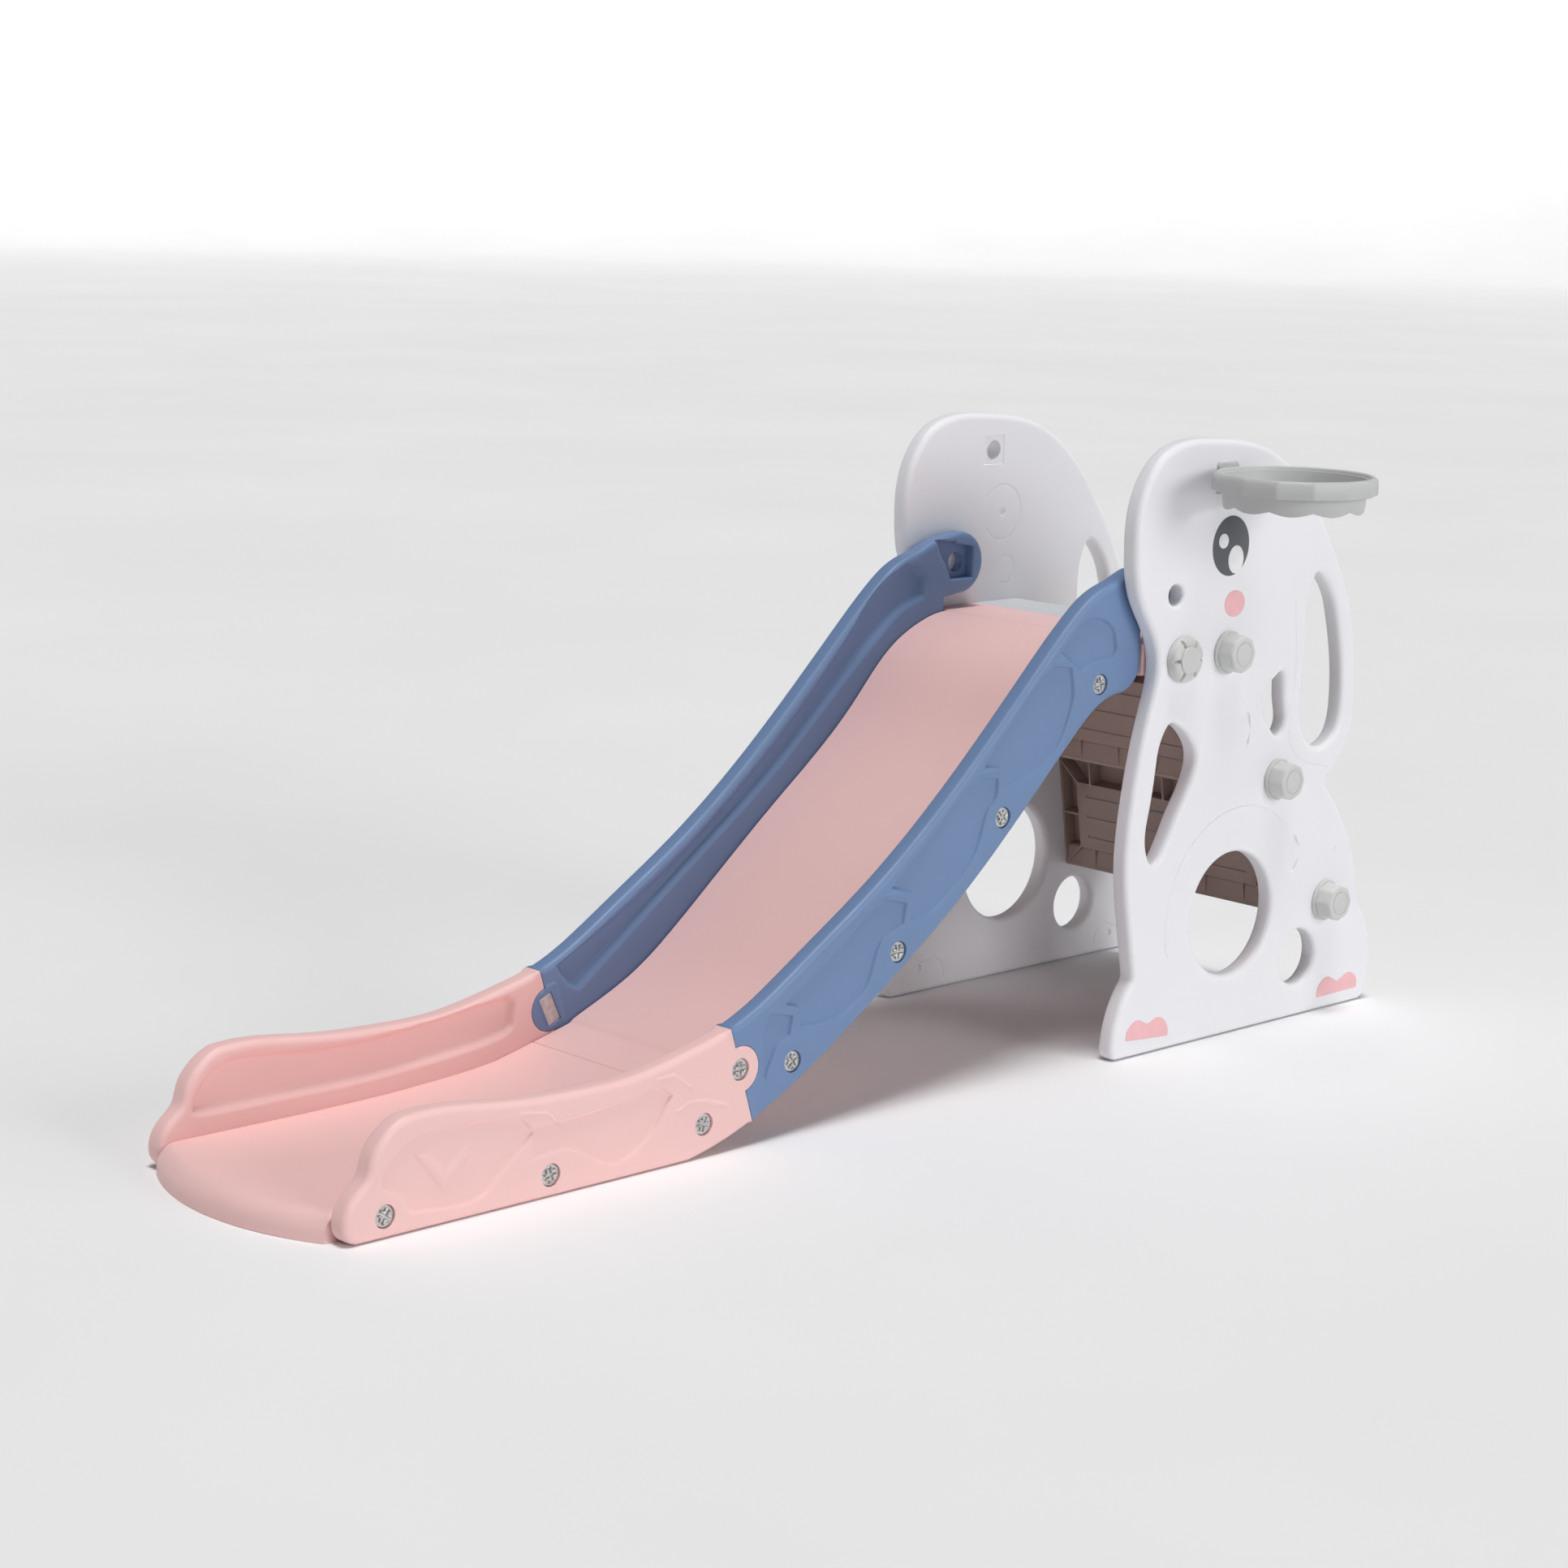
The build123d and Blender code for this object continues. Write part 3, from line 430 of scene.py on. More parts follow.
BLUE_POCKETS = [
    [(-338, 532), (-298, 566), (-279, 569), (-257, 564), (-241, 550), (-235, 527), (-244, 518),
     (-275, 515), (-297, 504)],
    [(-468, 404), (-415, 461), (-357, 512), (-318, 511), (-313, 473), (-333, 423), (-362, 394),
     (-397, 383), (-432, 370), (-438, 399)],
    [(-622, 275), (-561, 327), (-488, 387), (-444, 387), (-446, 365), (-461, 348), (-481, 298),
     (-526, 252), (-561, 233), (-589, 232), (-588, 265)],
    [(-792, 161), (-716, 207), (-641, 259), (-597, 253), (-601, 229), (-637, 213), (-662, 159),
     (-704, 132), (-767, 130), (-770, 154)],
    [(-824, 137), (-816, 153), (-781, 145), (-785, 123), (-805, 113), (-814, 97), (-823, 77)],
]
PINK_POCKETS = [
    [(-1373, 58), (-1370, 72), (-1356, 90), (-1327, 106), (-1257, 106), (-1185, 95),
     (-1167, 78), (-1219, 36), (-1234, 23), (-1256, 17), (-1335, 22), (-1348, 42)],
    [(-1168, 85), (-1103, 85), (-1024, 92), (-989, 97), (-966, 83), (-1002, 40), (-1042, 20),
     (-1062, 23), (-1119, 51), (-1169, 48)],
]
CHECK_MARK = [(-1328, 84), (-1312, 83), (-1288, 56), (-1260, 82), (-1257, 69), (-1292, 41)]
CHEVRONS = [[(-1185, 103), (-1150, 97), (-1128, 76)], [(-989, 106), (-965, 107), (-940, 88)],
            [(-352, 521), (-316, 522)], [(-482, 397), (-440, 398)], [(-636, 268), (-592, 265)]]
PINK_TAIL = [(-955, 64), (-941, 71), (-920, 69), (-885, 58)]
BLUE_HOLLOW = [(-263, 595), (-241, 593), (-228, 580), (-229, 554), (-273, 538), (-315, 506),
               (-362, 467), (-499, 347), (-655, 234), (-752, 163), (-816, 116), (-832, 125),
               (-848, 146), (-758, 193), (-656, 255), (-557, 328), (-444, 427), (-364, 510),
               (-317, 567)]
PINK_HOLLOW = [(-1376, 60), (-1374, 74), (-1358, 96), (-1333, 110), (-1304, 112), (-1222, 104),
               (-1146, 101), (-1067, 105), (-987, 114), (-929, 118), (-919, 112), (-920, 85),
               (-933, 77), (-987, 68), (-1067, 62), (-1146, 58), (-1260, 58), (-1348, 58)]
NUT_BLOCK = [(-886, 121), (-853, 128), (-838, 78), (-864, 68)]
BELLY_ARC = (-5, 160, 144, 47, 193)       # X, Z, radius, and its ends in degrees
EYE_ARC = (-51, 651, 37, -140, 140)
CHEEK_ARC = (-42, 573, 19, -100, 140)
PIN_MARK = (198, 222, 2.2)                # X, Z, radius
DIMPLES = [(-51, 651, 5.5), (-184, 34.5, 4.5), (209, 27.5, 4.5)]
HANDLE_LIP = [(84, 566), (92, 494), (93, 451), (84, 400), (94, 369), (115, 351), (170, 337)]
TOE_LOBES = [[(-217, 24), (-212, 41), (-193, 48), (-177, 41), (-155, 46), (-139, 36),
              (-135, 18)],
             [(177, 18), (182, 36), (201, 43), (220, 35), (243, 43), (259, 37), (263, 19)]]


def from_axis(points, axis):
    return np.linalg.norm(points - np.array(axis), axis=1)


def arc(x, z, radius, start, end):
    """Points on part of a circle, its ends in degrees."""
    count = max(8, round(abs(math.radians(end - start)) * radius / LINE_STEP))
    angles = np.radians(np.linspace(start, end, count))
    return np.stack([x + radius * np.cos(angles), z + radius * np.sin(angles)], 1)


def slot_outline(x, z):
    """An upright slot with half-round ends."""
    return np.vstack([arc(x, z + GRIP_HALF, GRIP_R, 0, 180),
                      arc(x, z - GRIP_HALF, GRIP_R, 180, 360)])


def square(x, z, side):
    corners = [(-0.5, -0.5), (0.5, -0.5), (0.5, 0.5), (-0.5, 0.5)]
    return smooth_line([(x + side * a, z + side * b) for a, b in corners])


# ---- side panels --------------------------------------------------------------------------
NEAR_HOLE = 20.0                  # an edge nearer than this to a hole's axis is the hole's own
EAR_HOLE_R = 13.5
SOCKET_R = 13.0
SEAT_SIDE = 38.5                  # the square seat of the hoop's plate
SMALLEST_OPENING = 180.0          # round holes have shorter outlines, and are drawn as circles


def panel_radius(points):
    """The panel's edges are well rounded; the ear hole has a lip and the socket is crisp."""
    radius = np.full(len(points), 8.0)
    radius[from_axis(points, EAR_AXIS) < NEAR_HOLE] = 5.5
    radius[from_axis(points, HOOP_AXIS) < NEAR_HOLE] = 1.0
    return radius


def panel_solid():
    """The left panel: belly arc and handle lip outside, feed marks and toe lines inside."""
    lines = [smooth_line(thinned(line)) for line in face_outlines("left_side_panel", -PANEL_OUT)
             if loop_length(line) > SMALLEST_OPENING]
    lines += [circle(*EAR_AXIS, EAR_HOLE_R)[::-1], circle(*HOOP_AXIS, SOCKET_R)[::-1]]
    seat = Pocket(square(*HOOP_AXIS, SEAT_SIDE), 2.0, 1.0)
    outer = [seat, *[Pocket(slot_outline(*spot), 3.4, 1.2) for spot in GRIP_SLOTS],
             Groove(arc(*BELLY_ARC), 1.4, 2.6),
             Groove(smooth_line(HANDLE_LIP, closed=False), 1.1, 3.0),
             Pocket(circle(*PIN_MARK), 1.6, 1.2)]
    inner = [seat, *[Groove(arc(*mark), 1.0, 3.5) for mark in (EYE_ARC, CHEEK_ARC)],
             *[Pocket(circle(*dimple), 2.0, 2.0) for dimple in DIMPLES],
             *[Groove(smooth_line(lobes, closed=False), 1.0, 3.0) for lobes in TOE_LOBES]]
    return moulded_plate(lines, PANEL_OUT, PANEL_IN, panel_radius, outer, panel_radius, inner)


# ---- rails --------------------------------------------------------------------------------
RAIL_EDGE_R = 7.5
SEAM_EDGE_R = 1.2
SEAM_FADE = 9.0                   # the seam's tight edge opens out over this distance
HOLLOW = (9.0, 11.0)              # depth and slope of a rail's hollow inner face
NEAR_SCREW, NEAR_LAP, NEAR_EAR = 15.0, 24.0, 33.0     # these holes' and pockets' own edges
SMALLEST_RAIL_LOOP = 60.0         # a rail face's shorter outlines are screw and nut holes' rims


def seam_distance(points):
    """How far points are from the rails' slanted seam or the round boss on it."""
    offset = points - np.array(LAP_AXIS)
    line = np.abs(offset @ [math.cos(LAP_LEAN), math.sin(LAP_LEAN)])
    boss = np.abs(np.linalg.norm(offset, axis=1) - LAP_R)
    return np.minimum(line, boss)


def rail_radius(points):
    return SEAM_EDGE_R + (RAIL_EDGE_R - SEAM_EDGE_R) * ease(seam_distance(points) / SEAM_FADE)


def outer_rail_radius(points):
    """Rounded edges, tight at the seam and round the screw holes."""
    radius = rail_radius(points)
    for screw in SCREWS:
        radius[from_axis(points, screw) < NEAR_SCREW] = 0.9
    radius[from_axis(points, EAR_AXIS) < NEAR_HOLE] = 2.0
    return radius


def inner_rail_radius(points):
    """Rounded edges, tight at the seam and its screw; the nut's pocket at the ear is softer."""
    radius = rail_radius(points)
    radius[from_axis(points, LAP_AXIS) < NEAR_LAP] = 0.7
    radius[from_axis(points, EAR_AXIS) < NEAR_EAR] = 3.0
    return radius


def swept(line):
    """A rail's outline whose top line reaches the ear in one sweep, without the fold there."""
    start, end = EAR_SWEEP
    fold = (line[:, 0] > start) & (line[:, 0] < end) & (line[:, 1] > EAR_SWEEP_LOW)
    if not fold.any():
        return line
    line = line.copy()
    first = np.flatnonzero(fold)[0]
    line[first] = EAR_SWEEP_MID
    fold[first] = False
    return line[~fold]


def rail_solid(node, outer_relief, inner_relief):
    """A left rail from two halves, whose outlines differ where the two rails overlap."""
    halves = []
    for face_y, radius, relief in ((RAIL_OUT, outer_rail_radius, outer_relief),
                                   (RAIL_IN, inner_rail_radius, inner_relief)):
        lines = [smooth_line(thinned(swept(line))) for line in face_outlines(node, -face_y)
                 if loop_length(line) > SMALLEST_RAIL_LOOP]
        halves.append(moulded_plate(lines, face_y, RAIL_MID, radius, relief))
    return joined(*halves)


def pockets(outlines, depth=3.6, slope=3.4):
    return [Pocket(smooth_line(outline, corner=50), depth, slope) for outline in outlines]


def ridges(outlines):
    return [Groove(smooth_line(line, closed=False), -1.1, 4.0) for line in outlines]


def upper_rail_solid():
    outer = pockets(BLUE_POCKETS) + ridges(CHEVRONS[2:])
    inner = [Pocket(smooth_line(BLUE_HOLLOW), *HOLLOW), Pocket(smooth_line(NUT_BLOCK), -1.2, 3.0)]
    return rail_solid("left_upper_rail", outer, inner)


def lower_rail_solid():
    outer = pockets(PINK_POCKETS) + ridges(CHEVRONS[:2] + [PINK_TAIL])
    outer.append(Pocket(smooth_line(CHECK_MARK), -2.4, 4.5))
    inner = [Pocket(smooth_line(PINK_HOLLOW), *HOLLOW)]
    return rail_solid("left_lower_rail", outer, inner)


# ---- beds ---------------------------------------------------------------------------------
BED_HALF = 156.5
BLOCK_HALF = 186.7                # the wider block at the top of the steep bed
SEAM_X = -890.8                   # where the two beds meet
SMALLEST_BED_LOOP = 100.0         # shorter outlines on a bed's side are screw holes
BED_PLAY = 0.7                    # how far a bed keeps from the rails beside it
RUN_OUT = [(-890, 59), (-959, 44), (-1081, 35), (-1198, 32.5), (-1330, 32.5), (-1480, 32.5)]
RUN_OUT_FOOT = [(-1000, 0), (SEAM_X, 25)]
EXIT_MID_X = -1468.0
EXIT_R = 321.4                    # plan radius of the exit edge
LIP_R = 24.0
BED_EDGE = (2.0, 1.5)             # width and drop of the chamfer along the flat bed's sides


def loft(sections):
    """A closed solid through rings of equally many points, capped at both ends."""
    count = len(sections[0])
    faces = []
    for first in range(0, count * (len(sections) - 1), count):
        for i in range(count):
            j = (i + 1) % count
            faces.append([first + i, first + j, first + count + j, first + count + i])
    last = count * (len(sections) - 1)
    faces.append(list(range(count - 1, -1, -1)))
    faces.append(list(range(last, last + count)))
    return np.vstack(sections), faces


def lower_bed_solid():
    """The flat bed, its round exit edge rolled over to the floor."""
    top = smooth_line(RUN_OUT, closed=False)
    spread = np.linspace(-1, 1, 53)
    edge_wide, edge_drop = BED_EDGE
    sections = []
    for y in np.concatenate([[-BED_HALF], spread * (BED_HALF - edge_wide), [BED_HALF]]):
        lowered = edge_drop if abs(y) == BED_HALF else 0
        exit_x = EXIT_MID_X + EXIT_R - math.sqrt(EXIT_R**2 - y**2)
        xs = np.linspace(SEAM_X, exit_x + LIP_R, 110)
        zs = np.interp(-xs, -top[:, 0], top[:, 1])
        turn = np.linspace(0, math.pi / 2, 12)[1:]
        lip = np.stack([exit_x + LIP_R * (1 - np.sin(turn)),
                        zs[-1] - LIP_R * (1 - np.cos(turn))], 1)
        line = np.vstack([np.stack([xs, zs], 1) - [0, lowered], lip - [0, lowered],
                          [(exit_x, 0)], RUN_OUT_FOOT])
        sections.append(upright(line, y))
    return loft(sections)


def bed_radius(points):
    return np.full(len(points), 2.6)


def upper_bed_solid():
    """The steep bed and the wider block at its top, each a side view carried across."""
    solids = []
    for half in (BED_HALF, BLOCK_HALF):
        lines = [smooth_line(thinned(line)) for line in face_outlines("upper_slide_bed", -half)
                 if loop_length(line) > SMALLEST_BED_LOOP]
        reach = half - BED_PLAY
        solids.append(moulded_plate(lines, reach, -reach, bed_radius, [], bed_radius))
    return joined(*solids)


# ---- knobs and caps -------------------------------------------------------------------------
KNOB_AXES = {"deck_knob": (-51.0, 511.0), "upper_knob": (65.5, 332.0),
             "lower_knob": (182.0, 153.0)}
CAP_AXIS = (-141.0, 510.0)
FITTED_Y = 213.3                  # where knobs and caps rest on the panel
KNOB_ROWS = [(0.0, 26.6, 0), (0.9, 27.5, 0), (3.1, 27.5, 0), (4.0, 26.6, 0), (4.0, 25.6, 0),
             (4.6, 25.2, 1), (10.0, 25.1, 1), (20.0, 25.0, 1), (23.5, 24.9, 1), (25.2, 24.3, 1),
             (26.4, 23.0, 1), (27.0, 21.2, 1), (27.0, 16.6, 0.3), (26.8, 16.0, 0),
             (26.1, 15.6, 0), (26.1, 14.8, 0), (26.8, 14.4, 0), (27.0, 13.8, 0), (27.0, 7.0, 0),
             (27.0, 1.0, 0)]
CAP_ROWS = [(0.0, 28.8, 0), (0.6, 29.4, 0), (6.5, 29.4, 0), (9.0, 28.6, 0), (11.2, 26.8, 0),
            (12.6, 24.2, 0), (13.0, 21.5, 0), (13.0, 19.2, 0), (12.4, 18.5, 0), (12.4, 18.0, 0),
            (14.2, 17.6, 0), (14.8, 16.9, 0), (15.0, 15.8, 0), (15.0, 8.0, 0), (15.0, 1.0, 0)]
KNOB_SIDES = 8
KNOB_STEPS = 144                  # points round a knob or cap
CAP_NOTCHES = 6
NOTCH_HALF = 1.7
NOTCH_FLOOR = 7.5                 # how far a notch's floor stands out from the panel
NOTCH_WALL = 1.2
NOTCH_START_R = 18.2              # notches run from this radius to the rim


def polygon_share(angles, sides, softness=26.0):
    """A polygon's radius by angle, as a share of its circle's, with softened corners."""
    facing = np.arange(sides) * 2 * math.pi / sides + math.pi / sides
    reach = np.clip(np.cos(angles[:, None] - facing), 0, 1) / math.cos(math.pi / sides)
    return (reach**softness).sum(1) ** (-1 / softness)


def turned(axis, rows, notches=0):
    """A piece turned about a Y axis, from rows of reach, radius and share of polygon."""
    angles = np.arange(KNOB_STEPS) * 2 * math.pi / KNOB_STEPS
    flats = polygon_share(angles, KNOB_SIDES)
    rings = []
    for reach, radius, angular in rows:
        radii = radius * (1 - angular + angular * flats)
        out = np.full(len(angles), reach)
        if notches and radius > NOTCH_START_R:
            off = np.abs((angles * notches / (2 * math.pi) + 0.5) % 1 - 0.5)
            aside = off * 2 * math.pi / notches * radius
            sunk = ease((NOTCH_HALF - aside) / NOTCH_WALL + 0.5)
            out = out - np.maximum(out - NOTCH_FLOOR, 0) * sunk
        rings.append(np.column_stack([axis[0] + radii * np.cos(angles), -(FITTED_Y + out),
                                      axis[1] + radii * np.sin(angles)]))
    return loft(rings)


# ---- screws and hoop ------------------------------------------------------------------------
SCREW_R = 12.5
SCREW_TOP = 182.3                 # centre plane to a screw head's flat, sunk in the rail's face
SCREW_BACK = 180.8
SCREW_END = 160.0
SCREW_SHAFT_R = 2.5
SCREW_EDGE_R = 0.8
SCREW_STEP = 0.8                  # spacing of points on such small outlines
SCREW_TURN, SCREW_TURN_MORE = 14, 37      # degrees: the first head's turn, and each next one's more
BAR = [(1.3, 1.3), (8.4, 1.3), (8.4, 4.2), (4.2, 4.2), (4.2, 8.4), (1.3, 8.4)]


def upright(line, y):
    """An outline in X and Z as points at one Y."""
    return np.column_stack([line[:, 0], np.full(len(line), y), line[:, 1]])


def screws_solid():
    """Screw heads with four raised corner bars, each head turned its own way, on plain shafts."""
    solids = []
    for index, (x, z) in enumerate(SCREWS):
        bars = []
        for quarter in range(4):
            turn = math.radians(90 * quarter + SCREW_TURN_MORE * index + SCREW_TURN)
            spin = np.array([[math.cos(turn), math.sin(turn)], [-math.sin(turn), math.cos(turn)]])
            outline = smooth_line(BAR, step=SCREW_STEP) @ spin + [x, z]
            bars.append(Pocket(outline, -3.0, 0.5))
        rim = circle(x, z, SCREW_R, 1.2)
        solids.append(moulded_plate([rim], SCREW_TOP, SCREW_BACK,
                                    lambda points: np.full(len(points), SCREW_EDGE_R), bars))
        shaft = circle(x, z, SCREW_SHAFT_R, SCREW_STEP)
        solids.append(loft([upright(shaft, -y) for y in (SCREW_BACK, SCREW_END)]))
    return joined(*solids)


HOOP_CENTRE = (-71.0, -321.0)
HOOP_FACETS = 14
HOOP_ROWS = [(102.3, 728, 1), (102.9, 729.5, 1), (103.0, 738, 1), (102.4, 745, 1),
             (100.8, 748.6, 0.9), (98.0, 750, 0.5), (95.0, 750, 0), (92.8, 748.6, 0),
             (91.6, 745, 0), (90.0, 733, 0), (88.6, 720, 0), (87.4, 711, 0), (86.2, 710.2, 0),
             (85.0, 711, 0), (86.0, 720, 0), (87.4, 731, 0), (89.4, 746, 0)]
HOOP_UNDER = [(97.5, 747, 0.6), (99.8, 741, 1), (100.4, 730, 1), (101.1, 728.2, 1)]
HOOP_STEPS = 280                  # points round the ring
SKIRT_WAVES = 10
SKIRT_WAVE = 5.0
SKIRT_FADE = (722.0, 9.0)         # the waves start below this height and grow over this drop
ARM = (19.0, 729.5, 748.5)        # half width, underside and top of the bracket
ARM_ENDS = (-224.0, -215.5)
PLATE = (18.7, 717.0, 754.0)      # the same of the plate against the panel
PLATE_ENDS = (-217.0, -211.3)
PLUG_R = 12.94
PLUG_ENDS = (-212.0, -184.0)


def hoop_solid():
    """A faceted ring with a hollow underside, a skirt with a wavy edge, and its bracket."""
    angles = np.arange(HOOP_STEPS) * 2 * math.pi / HOOP_STEPS
    fade_from, fade_over = SKIRT_FADE
    waves = SKIRT_WAVE * np.abs(np.cos(angles * SKIRT_WAVES / 2))
    facets = polygon_share(angles, HOOP_FACETS, 400.0)
    rings = []
    for radius, z, angular in HOOP_ROWS + HOOP_UNDER:
        radii = radius * (1 - angular + angular * facets)
        wave = waves * ease((fade_from - z) / fade_over)
        rings.append(np.column_stack([HOOP_CENTRE[0] + radii * np.cos(angles),
                                      HOOP_CENTRE[1] + radii * np.sin(angles), z - wave]))
    count, size = len(rings), len(angles)
    faces = [[r * size + i, r * size + (i + 1) % size,
              (r + 1) % count * size + (i + 1) % size, (r + 1) % count * size + i]
             for r in range(count) for i in range(size)]
    arm = [rounded_ring(*ARM, y) for y in ARM_ENDS]
    plate = [rounded_ring(*PLATE, y) for y in PLATE_ENDS]
    plug = [upright(circle(*HOOP_AXIS, PLUG_R, 1.2), y) for y in PLUG_ENDS]
    return joined((np.vstack(rings), faces), loft(arm), loft(plate), loft(plug))


def rounded_ring(half, low, high, y, corner=3.0):
    """An upright rectangle with round corners at one Y, centred on the hoop's axis."""
    centres = [(half - corner, high - corner, 0), (corner - half, high - corner, 90),
               (corner - half, low + corner, 180), (half - corner, low + corner, 270)]
    line = np.vstack([np.stack([x + corner * np.cos(turn), z + corner * np.sin(turn)], 1)
                      for x, z, start in centres
                      for turn in [np.radians(np.linspace(start, start + 90, 6))]])
    return upright(line + [HOOP_CENTRE[0], 0], y)


# ---- other pieces, softened from the frame's own shapes --------------------------------------
SOFT_CREASE = 40.0
MERGE_WITHIN = 2e-6


def softened(name, node, material, width):
    """The node's own shape with its sharp edges rounded, or as it is if the width is 0."""
    shape = bmesh.new()
    shape.from_mesh(frame["nodes"][node].data)
    bmesh.ops.remove_doubles(shape, verts=shape.verts, dist=MERGE_WITHIN)
    if width:
        bmesh.ops.dissolve_limit(shape, angle_limit=math.radians(0.3), verts=shape.verts,
                                 edges=shape.edges)
        hard = [edge for edge in shape.edges
                if len(edge.link_faces) == 2 and edge.calc_face_angle() > math.radians(SHARP_TURN)]
        bmesh.ops.bevel(shape, geom=hard, offset=width * MM, segments=2, profile=0.5,
                        affect="EDGES", clamp_overlap=True)
    return show(name, shape, material, node, SOFT_CREASE)


# ---- materials ----------------------------------------------------------------------------
def linear(red, green, blue):
    """A display colour, 0 to 255, as a linear one."""
    return tuple(((c / 255 + 0.055) / 1.055) ** 2.4 if c > 10 else c / 255 / 12.92
                 for c in (red, green, blue)) + (1.0,)


class Nodes:
    """Short calls for building a material's node tree."""

    def __init__(self, name):
        self.material = bpy.data.materials.new(name)
        self.material.use_nodes = True
        self.tree = self.material.node_tree
        self.shader = self.tree.nodes["Principled BSDF"]
        self.place = self.new("ShaderNodeTexCoord").outputs["Object"]

    def new(self, kind, **settings):
        node = self.tree.nodes.new(kind)
        for key, value in settings.items():
            setattr(node, key, value)
        return node

    def link(self, source, target):
        self.tree.links.new(source, target)

    def noise(self, scale, detail=3.0, roughness=0.5):
        node = self.new("ShaderNodeTexNoise")
        self.link(self.place, node.inputs["Vector"])
        node.inputs["Scale"].default_value = scale
        node.inputs["Detail"].default_value = detail
        node.inputs["Roughness"].default_value = roughness
        return node.outputs["Fac"]

    def spread(self, value, low, high, out_low, out_high):
        """Maps low..high onto out_low..out_high."""
        node = self.new("ShaderNodeMapRange")
        self.link(value, node.inputs["Value"])
        for key, number in (("From Min", low), ("From Max", high),
                            ("To Min", out_low), ("To Max", out_high)):
            node.inputs[key].default_value = number
        return node.outputs["Result"]

    def mixed(self, factor, first, second):
        node = self.new("ShaderNodeMix", data_type="RGBA")
        self.link(factor, node.inputs["Factor"])
        for key, colour in (("A", first), ("B", second)):
            socket = [s for s in node.inputs if s.name == key and s.type == "RGBA"][0]
            if isinstance(colour, tuple):
                socket.default_value = colour
            else:
                self.link(colour, socket)
        return [s for s in node.outputs if s.type == "RGBA"][0]

    def bumped(self, height, distance, strength=1.0, after=None):
        node = self.new("ShaderNodeBump")
        self.link(height, node.inputs["Height"])
        node.inputs["Distance"].default_value = distance
        node.inputs["Strength"].default_value = strength
        if after:
            self.link(after, node.inputs["Normal"])
        return node.outputs["Normal"]


def shade(colour, factor):
    return tuple(min(1.0, c * factor) for c in colour[:3]) + (1.0,)


def moulded_plastic(name, colour, roughness=0.46, grain=1.0, mottle=0.05):
    """Satin moulded polyethylene: faint mottling, fine grain, slow waves and a few scuffs."""
    m = Nodes(name)
    cloud = m.spread(m.noise(5.0, 4.0), 0.3, 0.7, 0.0, 1.0)
    tone = m.mixed(cloud, shade(colour, 1 - mottle), shade(colour, 1 + mottle))
    speck = m.spread(m.noise(900.0, 2.0), 0.35, 0.65, 0.0, 1.0)
    fine = m.mixed(speck, shade(colour, 0.985), shade(colour, 1.015))
    half = m.spread(cloud, 0, 1, 0.5, 0.5)
    body = m.mixed(half, tone, fine)
    scuff = m.spread(m.noise(38.0, 8.0, 0.72), 0.66, 0.74, 0.0, 0.22)
    m.link(m.mixed(scuff, body, shade(colour, 1.09)), m.shader.inputs["Base Color"])
    m.link(m.spread(m.noise(22.0, 6.0, 0.6), 0.3, 0.7, roughness - 0.05, roughness + 0.07),
           m.shader.inputs["Roughness"])
    waves = m.bumped(m.noise(16.0, 2.0), 0.0006 * grain, 0.35)
    peel = m.bumped(m.noise(420.0, 3.0, 0.55), 0.00012 * grain, 0.55, after=waves)
    m.link(m.bumped(m.noise(1900.0, 2.0), 0.00005 * grain, 0.5, after=peel),
           m.shader.inputs["Normal"])
    m.shader.inputs["Specular IOR Level"].default_value = 0.42
    m.shader.inputs["IOR"].default_value = 1.5
    return m.material


def printed_vinyl(name, colour):
    """A flat print with a slight gloss and a fine ripple."""
    m = Nodes(name)
    cloud = m.spread(m.noise(60.0, 4.0), 0.3, 0.7, 0.0, 1.0)
    m.link(m.mixed(cloud, shade(colour, 0.96), shade(colour, 1.04)),
           m.shader.inputs["Base Color"])
    m.link(m.spread(m.noise(90.0, 4.0), 0.3, 0.7, 0.34, 0.46), m.shader.inputs["Roughness"])
    m.link(m.bumped(m.noise(500.0, 3.0), 0.00005, 0.6), m.shader.inputs["Normal"])
    return m.material


def steel(name, colour):
    """Zinc-plated steel with fine brushing."""
    m = Nodes(name)
    cloud = m.spread(m.noise(140.0, 5.0), 0.3, 0.7, 0.0, 1.0)
    m.link(m.mixed(cloud, shade(colour, 0.82), shade(colour, 1.08)),
           m.shader.inputs["Base Color"])
    m.link(m.spread(m.noise(300.0, 4.0), 0.3, 0.7, 0.3, 0.48), m.shader.inputs["Roughness"])
    m.link(m.bumped(m.noise(1500.0, 4.0, 0.7), 0.00006, 0.7), m.shader.inputs["Normal"])
    m.shader.inputs["Metallic"].default_value = 0.85
    return m.material


LOOKS = {
    "panel_white": moulded_plastic("panel_white", linear(240, 240, 244), mottle=0.012),
    "rail_blue": moulded_plastic("rail_blue", linear(112, 138, 178), mottle=0.035),
    "slide_pink": moulded_plastic("slide_pink", linear(244, 202, 199), mottle=0.02),
    # Painted shade: the steps are light grey plastic like the knobs; this darker, warmer colour
    # paints in the shade they stand in between the panels and the warm light the pink bed throws on
    # them.
    "step_brown": moulded_plastic("step_brown", linear(172, 152, 143), mottle=0.05),
    "platform_grey": moulded_plastic("platform_grey", linear(205, 208, 212), mottle=0.03),
    "knob_grey": moulded_plastic("knob_grey", linear(208, 209, 207), mottle=0.02),
    "hoop_grey": moulded_plastic("hoop_grey", linear(196, 197, 197), mottle=0.02),
    "screw_grey": steel("screw_grey", linear(206, 206, 205)),
    "eye_dark": printed_vinyl("eye_dark", linear(86, 89, 94)),
    "eye_white": printed_vinyl("eye_white", linear(240, 240, 242)),
    "cheek_pink": printed_vinyl("cheek_pink", linear(243, 188, 192)),
    "bolt_steel": steel("bolt_steel", linear(190, 190, 188)),
}


